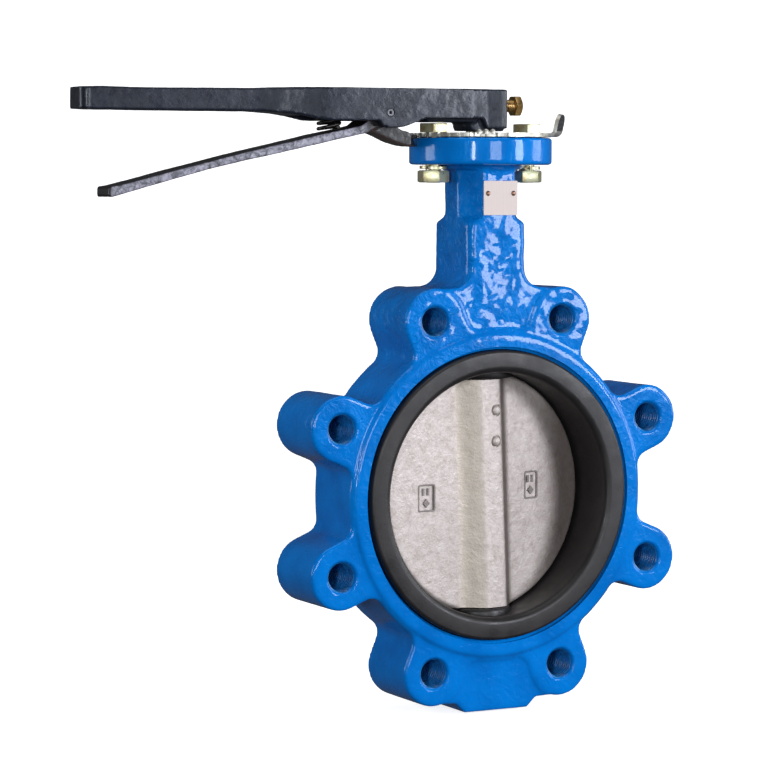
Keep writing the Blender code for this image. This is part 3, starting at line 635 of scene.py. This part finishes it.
def make_seat(material):
    half, lip, outer = 29.5 * MM, 4.6 * MM, 2.2 * MM
    inner_radius, outer_radius = 77.75 * MM, 92.1 * MM
    upper = [(inner_radius, 4 * MM)]
    upper += arc((inner_radius + lip, half - lip), lip, 180, 90, 12)
    upper += arc((outer_radius - outer, half - outer), outer, 90, 0, 8)
    upper += [(outer_radius, 10 * MM), (96.4 * MM, 10 * MM)]
    profile = upper + [(r, -z) for r, z in reversed(upper)]
    seat = lathe(profile, 240, UPRIGHT, ring=True)
    for side in (1, -1):
        boss = [(0, 84), (20.6, 84), (20.6, 75.6), (20, 73.9), (19.5, 73.5), (0, 73.5)]
        pad = lathe(scaled(boss), 64)
        if side < 0:
            pad.transform(Matrix.Rotation(math.pi, 4, "X"))
        seat = boolean(seat, pad, "UNION")
    seat = boolean(seat, cylinder(9.8 * MM, -110 * MM, 110 * MM))
    add("seat", seat, BODY, material, "seat_rubber", "seat_liner", sharp=40)


# ---------------------------------------------------------------- disc


def smooth(share):
    share = min(1.0, max(0.0, share))
    return share * share * (3 - 2 * share)


def hub_offset(x, z):
    """How far across the hub a place is. The hub leans a little to the left at the top."""
    return x + 1.2 + 0.045 * z


def disc_height(x, z):
    """Half thickness of the disc at a place on its plane, in millimetres."""
    radius = math.hypot(x, z)
    wing = 8.2 - 3.8 * min(1, radius / 76)
    across = abs(hub_offset(x, z))
    crown = 17.1 - 0.006 * min(across, 10) ** 2 - 10.8 * smooth((across - 6) / 16)
    sharpness = 0.9
    high, low = max(wing, crown), min(wing, crown)
    height = high + math.log1p(math.exp(-(high - low) * sharpness)) / sharpness
    edge = 77.4 - radius
    if edge < 2.6:
        share = max(0.0, edge / 2.6)
        height = 1.0 + (height - 1.0) * math.sqrt(share * (2 - share))
    return height


def disc_painted_light(x, z):
    """How dark the disc's front goes, and how much a lighter olive tone lifts it. Darker: a brown band at
    the hub's right foot, and a painted shadow from the bore's wall towards the right rim. Lighter: painted
    light on the hub's left flank, which faces away from the lamps.
    """
    across = hub_offset(x, z)
    foot = 0.95 * smooth((across - 7) / 3) * smooth((21 - across) / 6)
    return min(1, foot + 0.8 * smooth((x - 36) / 30)), smooth((across + 24) / 6) * smooth((-4 - across) / 8)


def make_disc(material, shaded_mark_material):
    limit, radius = 72.9, 77.35
    columns = sorted(
        set([round(radius * math.sin(math.radians(a)), 3) for a in range(-90, 91, 2)])
        | set([round(-26 + 0.8 * k, 3) for k in range(61)])
    )
    rows = 120
    shape = bmesh.new()
    grids = []
    for side in (-1, 1):
        grid = []
        for x in columns:
            reach = min(limit, math.sqrt(max(0, radius**2 - x**2)))
            column = []
            for k in range(rows + 1):
                z = reach * (2 * k / rows - 1)
                column.append(shape.verts.new((x * MM, side * disc_height(x, z) * MM, z * MM)))
            grid.append(column)
        grids.append(grid)
    for side, grid in zip((-1, 1), grids):
        for left, right in zip(grid, grid[1:]):
            for k in range(rows):
                shape.faces.new((left[k], right[k], right[k + 1], left[k + 1]))
    front, back = grids
    loop_front = [c[0] for c in front] + front[-1][1:] + [c[-1] for c in reversed(front[:-1])]
    loop_front += list(reversed(front[0][1:-1]))
    loop_back = [c[0] for c in back] + back[-1][1:] + [c[-1] for c in reversed(back[:-1])]
    loop_back += list(reversed(back[0][1:-1]))
    count = len(loop_front)
    for k in range(count):
        j = (k + 1) % count
        shape.faces.new((loop_front[k], loop_front[j], loop_back[j], loop_back[k]))
    bmesh.ops.remove_doubles(shape, verts=shape.verts, dist=1e-7)
    disc = rippled(mesh_of(shape), 9 * MM, 0.12 * MM, 3)
    for height in PIN_HEIGHTS.values():
        seat = Matrix.Translation((PIN_X, 0, height)) @ UPRIGHT
        for low, high in ((15.8 * MM, 22 * MM), (-22 * MM, -15.8 * MM)):
            disc = boolean(disc, cylinder(4 * MM, low, high, 40, seat))
    for x, z, half_w, half_h in DISC_MARKS.values():
        pocket = rounded_box(x, z, half_w - 0.9, half_h - 0.9, 1.2)
        depth = disc_height(x, z) * MM - 0.9 * MM
        disc = boolean(disc, prism(pocket, depth, 25 * MM, UPRIGHT))
    # Painted light on the disc's front: the rim shadow and dark foot band, and the lighter left hub flank.
    rim_shadow_and_dark_foot, lit_left_flank = (disc.attributes.new(name, "FLOAT", "POINT") for name in ("rim_shadow_and_dark_foot", "lit_left_flank"))
    for k, v in enumerate(disc.vertices):
        if v.co.y < 0:
            rim_shadow_and_dark_foot.data[k].value, lit_left_flank.data[k].value = disc_painted_light(v.co.x / MM, v.co.z / MM)
    disc.transform(DISC_TURN)
    add("disc_plate", disc, STEM, material, "cast_stainless", "disc", sharp=50)

    for name, (x, z, half_w, half_h) in DISC_MARKS.items():
        base = disc_height(x, z) * MM
        slope = math.radians(-2.9 if x < 0 else 2.9)
        place = Matrix.Translation((x * MM, -base + 0.1 * MM, z * MM)) @ Matrix.Rotation(slope, 4, "Z")
        mark = raised_mark(half_w, half_h)
        mark.transform(DISC_TURN @ place @ UPRIGHT)
        add(f"disc_mark_{name}", mark, STEM, shaded_mark_material, "cast_stainless")

    for side, height in PIN_HEIGHTS.items():
        end = 17.6 * MM
        dome = [(0, end + MM), (1.6 * MM, end + 0.85 * MM)]
        dome += [(2.8 * MM, end + 0.2 * MM), (3.3 * MM, end - 0.8 * MM)]
        profile = dome + [(r, -z) for r, z in reversed(dome)]
        pin = lathe(profile, 40, DISC_TURN @ Matrix.Translation((PIN_X, 0, height)) @ UPRIGHT)
        add(f"pin_{side}", pin, STEM, material, "cast_stainless", f"taper_pin_{side}", sharp=60)


def rounded_box(x, z, half_w, half_h, corner, steps=5):
    outline = []
    for sx, sz, start in ((1, 1, 0), (-1, 1, 90), (-1, -1, 180), (1, -1, 270)):
        centre = (x + sx * (half_w - corner), z + sz * (half_h - corner))
        outline += arc(centre, corner, start, start + 90, steps)
    return scaled(outline)


def raised_mark(half_w, half_h):
    """A raised rounded border with two bars and a lozenge inside it, flat on XY."""
    border = boolean(
        prism(rounded_box(0, 0, half_w, half_h, 1.6), -0.9 * MM, 0.45 * MM),
        prism(rounded_box(0, 0, half_w - 1.1, half_h - 1.1, 1.1), -3 * MM, 3 * MM),
    )
    parts = [border]
    for low, high in (((-3.1, 1.6), (-1.5, 6.2)), ((0.6, 1.6), (2.2, 6.2))):
        parts.append(prism(scaled([low, (high[0], low[1]), high, (low[0], high[1])]), -1.2 * MM, 0.1 * MM))
    parts.append(prism(scaled([(0, -0.6), (-2.6, -3.4), (0, -6.2), (2.6, -3.4)]), -1.2 * MM, 0.1 * MM))
    return softened(gathered(*parts), 0.17 * MM, 3)


# ---------------------------------------------------------------- fasteners and small plates


def hexagon_prism(across_flats, low, high, turn, chamfer_bottom, matrix):
    """A hexagon whose corners are turned down to a cone on top, and on the bottom too if asked."""
    corner = across_flats / 2 / math.cos(math.radians(30))
    angles = [math.radians(60 * k) for k in range(6)]
    outline = turned([(corner * math.cos(a), corner * math.sin(a)) for a in angles], turn)
    body = prism(outline, low, high)
    drop = (corner - across_flats / 2) * 0.62
    top_radius = across_flats / 2 * 0.985
    bottom_radius = top_radius if chamfer_bottom else corner * 1.1
    over = corner * 1.03
    cone = [(0, high), (top_radius, high), (over, high - drop)]
    cone += [(over, low + drop), (bottom_radius, low), (0, low)]
    body = boolean(body, lathe(cone, 72), "INTERSECT")
    body = bevelled(body, 0.25 * MM)
    body.transform(matrix)
    return body


def threaded_rod(major, minor, pitch, low, high):
    """A solid rod with a helical thread and a slightly coned lower end."""
    steps = 40
    rows = int((high - low) / pitch * 8)
    shape = bmesh.new()
    grid = []
    for i in range(rows + 1):
        height = low + (high - low) * i / rows
        row = []
        for k in range(steps):
            phase = ((height - low) / pitch - k / steps) % 1
            depth = abs(2 * phase - 1)
            radius = minor + (major - minor) * min(1, depth * 1.25)
            radius = min(radius, minor - 0.2 * MM + (height - low) * 1.2)
            a = 2 * math.pi * k / steps
            row.append(shape.verts.new((radius * math.cos(a), radius * math.sin(a), height)))
        grid.append(row)
    tube(shape, grid)
    return mesh_of(shape)


def split_washer(outer, inner, low, high, gap_degrees, turn):
    """A spring washer: one turn of square wire with its ends a little apart in height."""
    steps = 64
    thick = (high - low) * 0.82
    lift = (high - low) - thick
    shape = bmesh.new()
    rows = []
    for k in range(steps + 1):
        share = k / steps
        a = math.radians(turn + gap_degrees / 2 + (360 - gap_degrees) * share)
        base = low + lift * share
        corners = ((inner, base), (outer, base), (outer, base + thick), (inner, base + thick))
        rows.append([shape.verts.new((r * math.cos(a), r * math.sin(a), z)) for r, z in corners])
    tube(shape, rows)
    return bevelled(mesh_of(shape), 0.2 * MM)


def make_plate_fasteners(material):
    nut_turns = {"left": 23.7, "right": 45.6}
    for side, x in PLATE_BOLT_X.items():
        place = Matrix.Translation((x, 0, 0))
        head = hexagon_prism(17 * MM, 229.25 * MM, 234.9 * MM, 2.6, False, place)
        flange = cylinder(8 * MM, 229.15 * MM, 229.6 * MM, 48, place)
        shank = cylinder(4.9 * MM, 205 * MM, 230 * MM, 32, place)
        rod = threaded_rod(4.9 * MM, 4.2 * MM, 1.5 * MM, 197.4 * MM, 209 * MM)
        rod.transform(place)
        bolt = boolean(boolean(head, flange, "UNION"), shank, "UNION")
        add(f"bolt_{side}", bolt, BODY, material, "yellow_zinc", f"plate_bolt_{side}", sharp=20)
        add(f"bolt_thread_{side}", rod, BODY, material, "yellow_zinc", sharp=50)
        nut = hexagon_prism(17.6 * MM, 197.55 * MM, 205.35 * MM, nut_turns[side], True, place)
        nut = boolean(nut, cylinder(5.1 * MM, 190 * MM, 210 * MM, 32, place))
        add(f"nut_{side}", nut, BODY, material, "yellow_zinc", f"plate_nut_{side}", sharp=20)
        washer = split_washer(8.7 * MM, 5.3 * MM, 205.8 * MM, 208.25 * MM, 8, 215 if side == "left" else 250)
        washer.transform(place)
        add(f"washer_{side}", washer, BODY, material, "yellow_zinc", f"plate_washer_{side}", sharp=20)


def notched_disc(low, high):
    radius, root = 44.95 * MM, 42.6 * MM
    outline = []
    for k in range(11):
        middle = 171 + k * 9
        outline += turned(arc((0, 0), radius, -4.5, -2.6, 2), middle)
        outline += turned([(root, 0)], middle - 2.1) + turned([(root, 0)], middle + 2.1)
        outline += turned(arc((0, 0), radius, 2.6, 4.5, 2)[:-1], middle)
    outline += arc((0, 0), radius, 265.5, 526.5, 120)[1:-1]
    return prism(outline, low, high)


def stop_ear(thick):
    """A strip that runs out along +X and bends up, with a round end."""
    half, reach, bend, lean, length, tip = 7 * MM, 51 * MM, 3.4 * MM, 78, 10.6 * MM, 6 * MM
    angles = [math.radians(lean * k / 8) for k in range(1, 9)]
    spine = [(38 * MM, 0.0), (reach - bend, 0.0)]
    spine += [(reach - bend + bend * math.sin(a), bend * (1 - math.cos(a))) for a in angles]
    last = spine[-1]
    direction = (math.cos(math.radians(lean)), math.sin(math.radians(lean)))
    for k in range(1, 13):
        spine.append((last[0] + direction[0] * length * k / 12, last[1] + direction[1] * length * k / 12))
    shape = bmesh.new()
    rings = []
    for i, (r, z) in enumerate(spine):
        before, after = spine[max(0, i - 1)], spine[min(len(spine) - 1, i + 1)]
        tangent = Vector((after[0] - before[0], after[1] - before[1])).normalized()
        normal = (-tangent.y, tangent.x)
        from_tip = math.hypot(spine[-1][0] - r, spine[-1][1] - z)
        width = half if from_tip > tip else half - tip + math.sqrt(max(0, tip**2 - (tip - from_tip) ** 2))
        width = max(width, 1.2 * MM)
        ring = []
        for across, side in ((-width, -0.5), (width, -0.5), (width, 0.5), (-width, 0.5)):
            corner = (r + normal[0] * side * thick, across, z + normal[1] * side * thick)
            ring.append(shape.verts.new(corner))
        rings.append(ring)
    tube(shape, rings)
    return mesh_of(shape)


def make_notch_plate(material):
    low, high = 226.35 * MM, 228.85 * MM
    ear = stop_ear(high - low)
    ear_turn = Matrix.Rotation(math.radians(EAR_DIRECTION), 4, "Z")
    ear.transform(ear_turn @ Matrix.Translation((0, 0, (low + high) / 2)))
    plate = boolean(notched_disc(low, high), ear, "UNION", "EXACT")
    plate = boolean(plate, cylinder(12 * MM, 220 * MM, 235 * MM, 48))
    for x in PLATE_BOLT_X.values():
        plate = boolean(plate, cylinder(5.4 * MM, 220 * MM, 235 * MM, 32, Matrix.Translation((x, 0, 0))))
    for x, y in ((-22, -37.9), (-18.3, -39.8), (-14.2, -41)):
        bump = [(0, 231), (0.8, 230.9), (1.5, 230.3), (1.8, 229.2), (1.8, 228), (0, 228)]
        plate = boolean(plate, lathe(scaled(bump), 24, Matrix.Translation((x * MM, y * MM, 0))), "UNION")
    plate = bevelled(plate, 0.3 * MM)
    outward = ear_turn @ Vector((1, 0, 0))
    # Painted dark reflection: the stop ear's upright faces, picked by their normals, get the dark slate
    # tint.
    shade = plate.attributes.new("shade", "FLOAT", "FACE")
    for k, face in enumerate(plate.polygons):
        shade.data[k].value = float(face.center.z > high + 1.5 * MM and abs(face.normal.dot(outward)) > 0.75)
    add("index_plate", plate, BODY, material, "bright_zinc", "notch_plate", sharp=20)


def make_name_plate(material, rivet_material):
    plate = prism(rounded_box(0.7, 188, 12.2, 10.8, 0.7, 4), 24.9 * MM, 25.5 * MM, UPRIGHT)
    plate = bevelled(plate, 0.15 * MM)
    add("blank_plate", plate, BODY, material, "bare_plate", "name_plate", sharp=20)
    for side, x in (("left", -8.45 * MM), ("right", 9.85 * MM)):
        dome = [(0, 26.35), (0.8, 26.25), (1.4, 25.95), (1.68, 25.5), (1.68, 25.2), (0, 25.2)]
        rivet = lathe(scaled(dome), 32, Matrix.Translation((x, 0, 190.9 * MM)) @ UPRIGHT)
        add(f"rivet_{side}", rivet, BODY, rivet_material, "brass", f"name_plate_rivet_{side}", sharp=60)


# ---------------------------------------------------------------- lever, latch and spring


def lever_side_outline():
    x, z = PIVOT
    lobe_angle = math.degrees(math.asin((z - 235.9 * MM) / (9.3 * MM)))
    upper = [(-280, 254.2), (-262, 254.7), (-240, 254.3), (-226, 254.3), (-190, 254.7), (-167, 254.9)]
    upper += [(-140, 255.8), (-113, 256.1), (0, 256.4), (18, 256.4)]
    hub = [(18, 231.9), (-3.4, 231.9), (-5.2, 233.4), (-6.7, 237), (-8.5, 237.9), (-48, 237.6)]
    lobe = [(-52, 236.3), (-58, 234.1), (-63.5, 232.2), (-67, 231.7)]
    lower = [(-280, 241.5), (-268, 241), (-200, 240.8), (-176, 240.9), (-162, 240.9), (-154, 240.6)]
    lower += [(-141, 239.7), (-131, 238.4), (-125, 237.2), (-119, 236), (-112, 235.7), (-90, 235.8)]
    outline = scaled(upper + hub + lobe) + arc((x, z), 9.3 * MM, -90, lobe_angle - 180, 20)
    return outline + scaled(list(reversed(lower)))


def lever_plan_outline():
    grip, head, end = 12.3 * MM, 17.9 * MM, -275.6 * MM
    side = arc((end + 5.5 * MM, grip - 5.5 * MM), 5.5 * MM, 180, 90, 12)
    side += [(-166 * MM, grip)]
    for k in range(1, 12):
        side.append(((-166 + 54 * k / 12) * MM, grip + (head - grip) * smooth(k / 12)))
    side += [(-112 * MM, head), (-15 * MM, head), (-3 * MM, 16.4 * MM), (7.4 * MM, 13.8 * MM)]
    side += arc((9.1 * MM, 8.9 * MM), 4.6 * MM, 45, 0, 4)
    return side + [(x, -y) for x, y in reversed(side)]


def make_lever(material):
    plan = prism(lever_plan_outline(), 220 * MM, 262 * MM)
    shell = boolean(side_prism(lever_side_outline(), 30 * MM), plan, "INTERSECT")
    hub = arc((7 * MM, 7 * MM), 5 * MM, 0, 90, 6) + arc((-11.6 * MM, 7 * MM), 5 * MM, 90, 180, 6)
    hub += [(a, -b) for a, b in reversed(hub)]
    core = box((-46 * MM, -14 * MM, 235.5 * MM), (-10 * MM, 14 * MM, 246 * MM))
    boss = [(0, 244), (18.2, 244), (17.6, 233), (16.6, 230.1), (0, 230.1)]
    boss_mesh = boolean(prism(hub, 230.1 * MM, 245 * MM), lathe(scaled(boss), 96), "INTERSECT")
    lever = softened(gathered(shell, core, boss_mesh), 0.85 * MM, 2)
    lever = rippled(lever, 9 * MM, 0.1 * MM, 5)
    lever = boolean(lever, box((-133 * MM, -13 * MM, 220 * MM), (-42 * MM, 13 * MM, 249 * MM)))
    lever = boolean(lever, box((-7.3 * MM, -7.3 * MM, 220 * MM), (7.3 * MM, 7.3 * MM, 262 * MM)))
    along = Matrix.Translation((0, 0, SET_BOLT_HEIGHT)) @ ALONG_X
    lever = boolean(lever, cylinder(4.3 * MM, 5 * MM, 20 * MM, 32, along))
    across = Matrix.Translation((PIVOT[0], 0, PIVOT[1])) @ UPRIGHT
    lever = boolean(lever, cylinder(PIVOT_HOLE_RADIUS, -25 * MM, 25 * MM, 32, across))
    add("handle", lever, STEM, material, "black_enamel", "lever_handle", sharp=50)


def make_set_bolt(material):
    along = Matrix.Translation((0, 0, SET_BOLT_HEIGHT)) @ ALONG_X
    turn = Matrix.Rotation(math.radians(60), 4, "Z")
    head = hexagon_prism(12.2 * MM, 23 * MM, 27.7 * MM, 30, True, along @ turn)
    rod = threaded_rod(4 * MM, 3.45 * MM, 1.25 * MM, 8 * MM, 23.6 * MM)
    rod.transform(along)
    add("set_bolt_head", head, STEM, material, "brass", "lever_set_bolt", sharp=20)
    add("set_bolt_thread", rod, STEM, material, "brass", sharp=50)


def make_pivot_pin(material):
    reach = 17.5 * MM
    half = [(0, reach - 1.6 * MM), (1 * MM, reach - 1.6 * MM), (1.15 * MM, reach - 0.05 * MM)]
    half += [(1.5 * MM, reach), (2.4 * MM, reach - 0.05 * MM), (2.68 * MM, reach - 0.25 * MM)]
    profile = half + [(r, -z) for r, z in reversed(half)]
    pin = lathe(profile, 32, Matrix.Translation((PIVOT[0], 0, PIVOT[1])) @ UPRIGHT)
    bare = pin.attributes.new("bare", "FLOAT", "POINT")
    for k, v in enumerate(pin.vertices):
        off_axis = math.hypot(v.co.x - PIVOT[0], v.co.z - PIVOT[1])
        bare.data[k].value = float(1.1 * MM < off_axis < 1.9 * MM)
    add("pivot_pin", pin, STEM, material, "stainless_steel", "latch_pivot_pin", sharp=30)


def make_latch(material):
    lower = [(-256.6, 188.8), (-236, 194.4), (-215.5, 199.8), (-191.6, 206), (-167.5, 211.3), (-149, 215)]
    lower += [(-130.8, 218.9), (-108, 223.8), (-86.8, 228.2)]
    upper = [(-90, 232.9), (-103, 230.2), (-118.4, 227.2), (-137, 223), (-157.1, 218.6), (-175, 214.6)]
    upper += [(-191.6, 210.6), (-215.5, 204.9), (-236, 199.7), (-252, 195.9), (-256.6, 195.2)]
    outline = [(-258.1 * MM, 190.1 * MM)] + scaled(lower) + arc(PIVOT, 7.6 * MM, -95, 190, 32)
    outline += scaled(upper) + [(-258.1 * MM, 193.9 * MM)]
    plan = arc((-255.4 * MM, 8.5 * MM), 2.7 * MM, 180, 90, 6)
    plan = [(x, y) for x, y in plan] + [(-150 * MM, 11.2 * MM), (-60 * MM, 11.2 * MM)]
    plan += [(x, -y) for x, y in reversed(plan)]
    bar = boolean(side_prism(outline, 16 * MM), prism(plan, 150 * MM, 260 * MM), "INTERSECT")
    under = [(-84, 229.5), (-80.5, 228.8), (-76, 227.2), (-71.5, 225.3), (-67.5, 223.6), (-64.2, 222.4)]
    under += [(-60, 221.2), (-57, 220.6), (-53, 220.1), (-49, 219.9), (-47.2, 220.5)]
    over = [(-55.3, 228.8), (-56.5, 229.4), (-60, 230), (-63.5, 231.8)]
    over += [(-66.6, 235), (-73.5, 241), (-80, 236)]
    leg_plan = scaled([(-90, 8), (-54, 8), (-46.2, 1.6), (-46.2, -1.6), (-54, -8), (-90, -8)])
    leg_side = side_prism(scaled(under + over), 12 * MM)
    leg = boolean(leg_side, prism(leg_plan, 200 * MM, 260 * MM), "INTERSECT")
    tooth = [(-56, 227.4), (-54, 224.6), (-46.2, 225), (-45.8, 225.5), (-45.8, 227), (-46.2, 227.5)]
    latch = softened(gathered(bar, leg, side_prism(scaled(tooth), 1.4 * MM)), 0.6 * MM, 2)
    latch = rippled(latch, 6 * MM, 0.1 * MM, 9)
    across = Matrix.Translation((PIVOT[0], 0, PIVOT[1])) @ UPRIGHT
    latch = boolean(latch, cylinder(PIVOT_HOLE_RADIUS, -25 * MM, 25 * MM, 32, across))
    lit_faces, floor_reflection = (latch.attributes.new(name, "FLOAT", "POINT") for name in ("side_light_paint", "floor_reflection"))
    for k, v in enumerate(latch.vertices):
        # Painted reflection of the warm floor on the leg's downward-facing faces.
        floor_reflection.data[k].value = smooth(-v.normal.z * 2 - 0.4) * smooth((v.co.x + 92 * MM) / (12 * MM))
        # Painted light: the bar's upright side faces, picked by their normals, get the lighter mottled
        # greys.
        lit_faces.data[k].value = smooth(abs(v.normal.y) * 3 - 1.6) * smooth((-82 * MM - v.co.x) / (9 * MM))
    add("finger_latch", latch, LATCH, material, "black_enamel", "latch_lever", sharp=50)


def make_spring(material):
    bottom, top, turns, wire, radius = 230.6 * MM, 247.4 * MM, 5.5, 1.2 * MM, 6.6 * MM
    per_turn, sides = 40, 12
    count = int(turns * per_turn)
    shape = bmesh.new()
    rings = []
    for i in range(count + 1):
        a = 2 * math.pi * i / per_turn
        share = i / count
        lean = 0.21 * (1 - share) * radius * math.cos(a)
        height = bottom + (top - bottom) * share + lean
        centre = Vector((-107.5 * MM + radius * math.cos(a), radius * math.sin(a), height))
        outward = Vector((math.cos(a), math.sin(a), 0))
        ring = []
        for k in range(sides):
            b = 2 * math.pi * k / sides
            rise = Vector((0, 0, wire * math.sin(b)))
            ring.append(shape.verts.new(centre + outward * wire * math.cos(b) + rise))
        rings.append(ring)
    tube(shape, rings)
    coil = add("coil_spring", mesh_of(shape), None, material, "spring_steel", "latch_spring", sharp=60)
    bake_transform(coil)


# ---------------------------------------------------------------- stage, lights and camera


def make_stage():
    surface = Surface("backdrop", (0.93, 0.93, 0.93), 0.9)
    surface.set("Emission Color", (1, 1, 1, 1))
    surface.set("Emission Strength", 0.8)
    floor = -139.2 * MM
    ahead = Vector((math.sin(CAMERA_AZIMUTH), math.cos(CAMERA_AZIMUTH), 0))
    aside = Vector((ahead.y, -ahead.x, 0))
    behind, bend = 1.2, 0.9
    angles = [math.radians(90 * k / 16) for k in range(1, 17)]
    profile = [(-6.0, floor), (behind, floor)]
    profile += [(behind + bend * math.sin(a), floor + bend * (1 - math.cos(a))) for a in angles]
    profile.append((2.1, 3.5))
    shape = bmesh.new()
    rows = [
        [shape.verts.new(ahead * along + aside * across + Vector((0, 0, up))) for across in (-5, 5)]
        for along, up in profile
    ]
    for a, b in zip(rows, rows[1:]):
        shape.faces.new((a[0], a[1], b[1], b[0]))
    mesh = mesh_of(shape)
    mesh.materials.append(surface.material)
    mesh.shade_smooth()
    backdrop = bpy.data.objects.new("backdrop", mesh)
    bpy.context.scene.collection.objects.link(backdrop)
    backdrop.visible_glossy = False
    backdrop.visible_diffuse = False


def add_light(name, place, target, size, power, colour):
    data = bpy.data.lights.new(name, "AREA")
    data.shape = "RECTANGLE"
    data.size, data.size_y = size
    data.energy = power
    data.color = colour
    light = bpy.data.objects.new(name, data)
    light.location = place
    light.rotation_mode = "QUATERNION"
    light.rotation_quaternion = (Vector(target) - Vector(place)).to_track_quat("-Z", "Y")
    bpy.context.scene.collection.objects.link(light)


def make_lights():
    world = bpy.data.worlds.new("studio")
    world.use_nodes = True
    world.node_tree.nodes["Background"].inputs["Color"].default_value = (0.92, 0.95, 1, 1)
    world.node_tree.nodes["Background"].inputs["Strength"].default_value = 0.07
    bpy.context.scene.world = world
    add_light("window_front_right", (1.33, -1.86, 0.45), (0, 0, 0.08), (0.55, 0.9), 33, (0.9, 0.92, 1))
    add_light("window_right", (2.1, -0.6, 0.4), (0, 0, 0.1), (0.8, 0.9), 14, (0.93, 0.96, 1))
    add_light("window_camera_left", (-1.6, -1.94, 0.35), (0, 0, 0.05), (0.22, 0.7), 17, (0.93, 0.96, 1))
    add_light("window_camera_right", (-0.2, -2.5, 0.3), (0, 0, 0.02), (0.8, 0.6), 17, (0.93, 0.96, 1))
    add_light("window_back_left", (-1.75, 0.9, 0.4), (0, 0, 0.05), (0.7, 0.9), 13, (0.95, 0.97, 1))
    add_light("overhead", (-0.2, -0.3, 1.9), (0, 0, 0), (1.6, 1.2), 12, (1, 1, 1))


def make_camera():
    azimuth, elevation, roll = CAMERA_AZIMUTH, math.radians(4.09), math.radians(0.13)
    level = math.cos(elevation)
    ahead = Vector((math.sin(azimuth) * level, math.cos(azimuth) * level, -math.sin(elevation)))
    right = Vector((math.cos(azimuth), -math.sin(azimuth), 0))
    up = right.cross(ahead)
    right, up = right * math.cos(roll) + up * math.sin(roll), up * math.cos(roll) - right * math.sin(roll)
    data = bpy.data.cameras.new("camera")
    focal_pixels, image_pixels = 2974, 768
    data.sensor_width = 36
    data.lens = focal_pixels / image_pixels * data.sensor_width
    data.shift_x = -0.0012
    data.clip_start, data.clip_end = 0.05, 50
    camera = bpy.data.objects.new("camera", data)
    place = Vector((-68 * MM, 0, 71.1 * MM)) - ahead * 1.871
    turn = Matrix((right, up, -ahead)).transposed().to_4x4()
    camera.matrix_world = Matrix.Translation(place) @ turn
    bpy.context.scene.collection.objects.link(camera)
    bpy.context.scene.camera = camera


def dress_frame_nodes(materials):
    """Inner pieces keep their CAD shapes and get finished surfaces."""
    for name, material in materials.items():
        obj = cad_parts[name]
        obj.data.materials.clear()
        obj.data.materials.append(material)


bpy.context.scene.view_settings.view_transform = "Standard"
enamel, rubber, black = blue_enamel(), black_rubber(), black_enamel()
steel, zinc, yellow, gold = turned_steel(), bright_zinc(), yellow_zinc(), brass()
stainless, polymer, spring_steel = cast_stainless(), pale_polymer(), dark_spring()

make_camera()
make_lights()
make_stage()
make_body(enamel, thread_paint())
make_seat(rubber)
# The disc's raised marks take a darker copy of the cast stainless: painted shade for the shadows along their
# raised edges.
make_disc(stainless, cast_stainless("shaded_mark_stainless", 0.45))
make_plate_fasteners(yellow)
make_notch_plate(zinc)
make_name_plate(bare_plate(), copper())
make_lever(black)
make_set_bolt(gold)
make_pivot_pin(black)
make_latch(latch_enamel())
make_spring(spring_steel)
dress_frame_nodes({
    "stem": steel,
    "thrust_washer": steel,
    "stem_circlip": spring_steel,
    "stem_bush_top": polymer,
    "stem_bush_middle": polymer,
    "stem_bush_bottom": polymer,
    "stem_seal_upper": rubber,
    "stem_seal_lower": rubber,
})
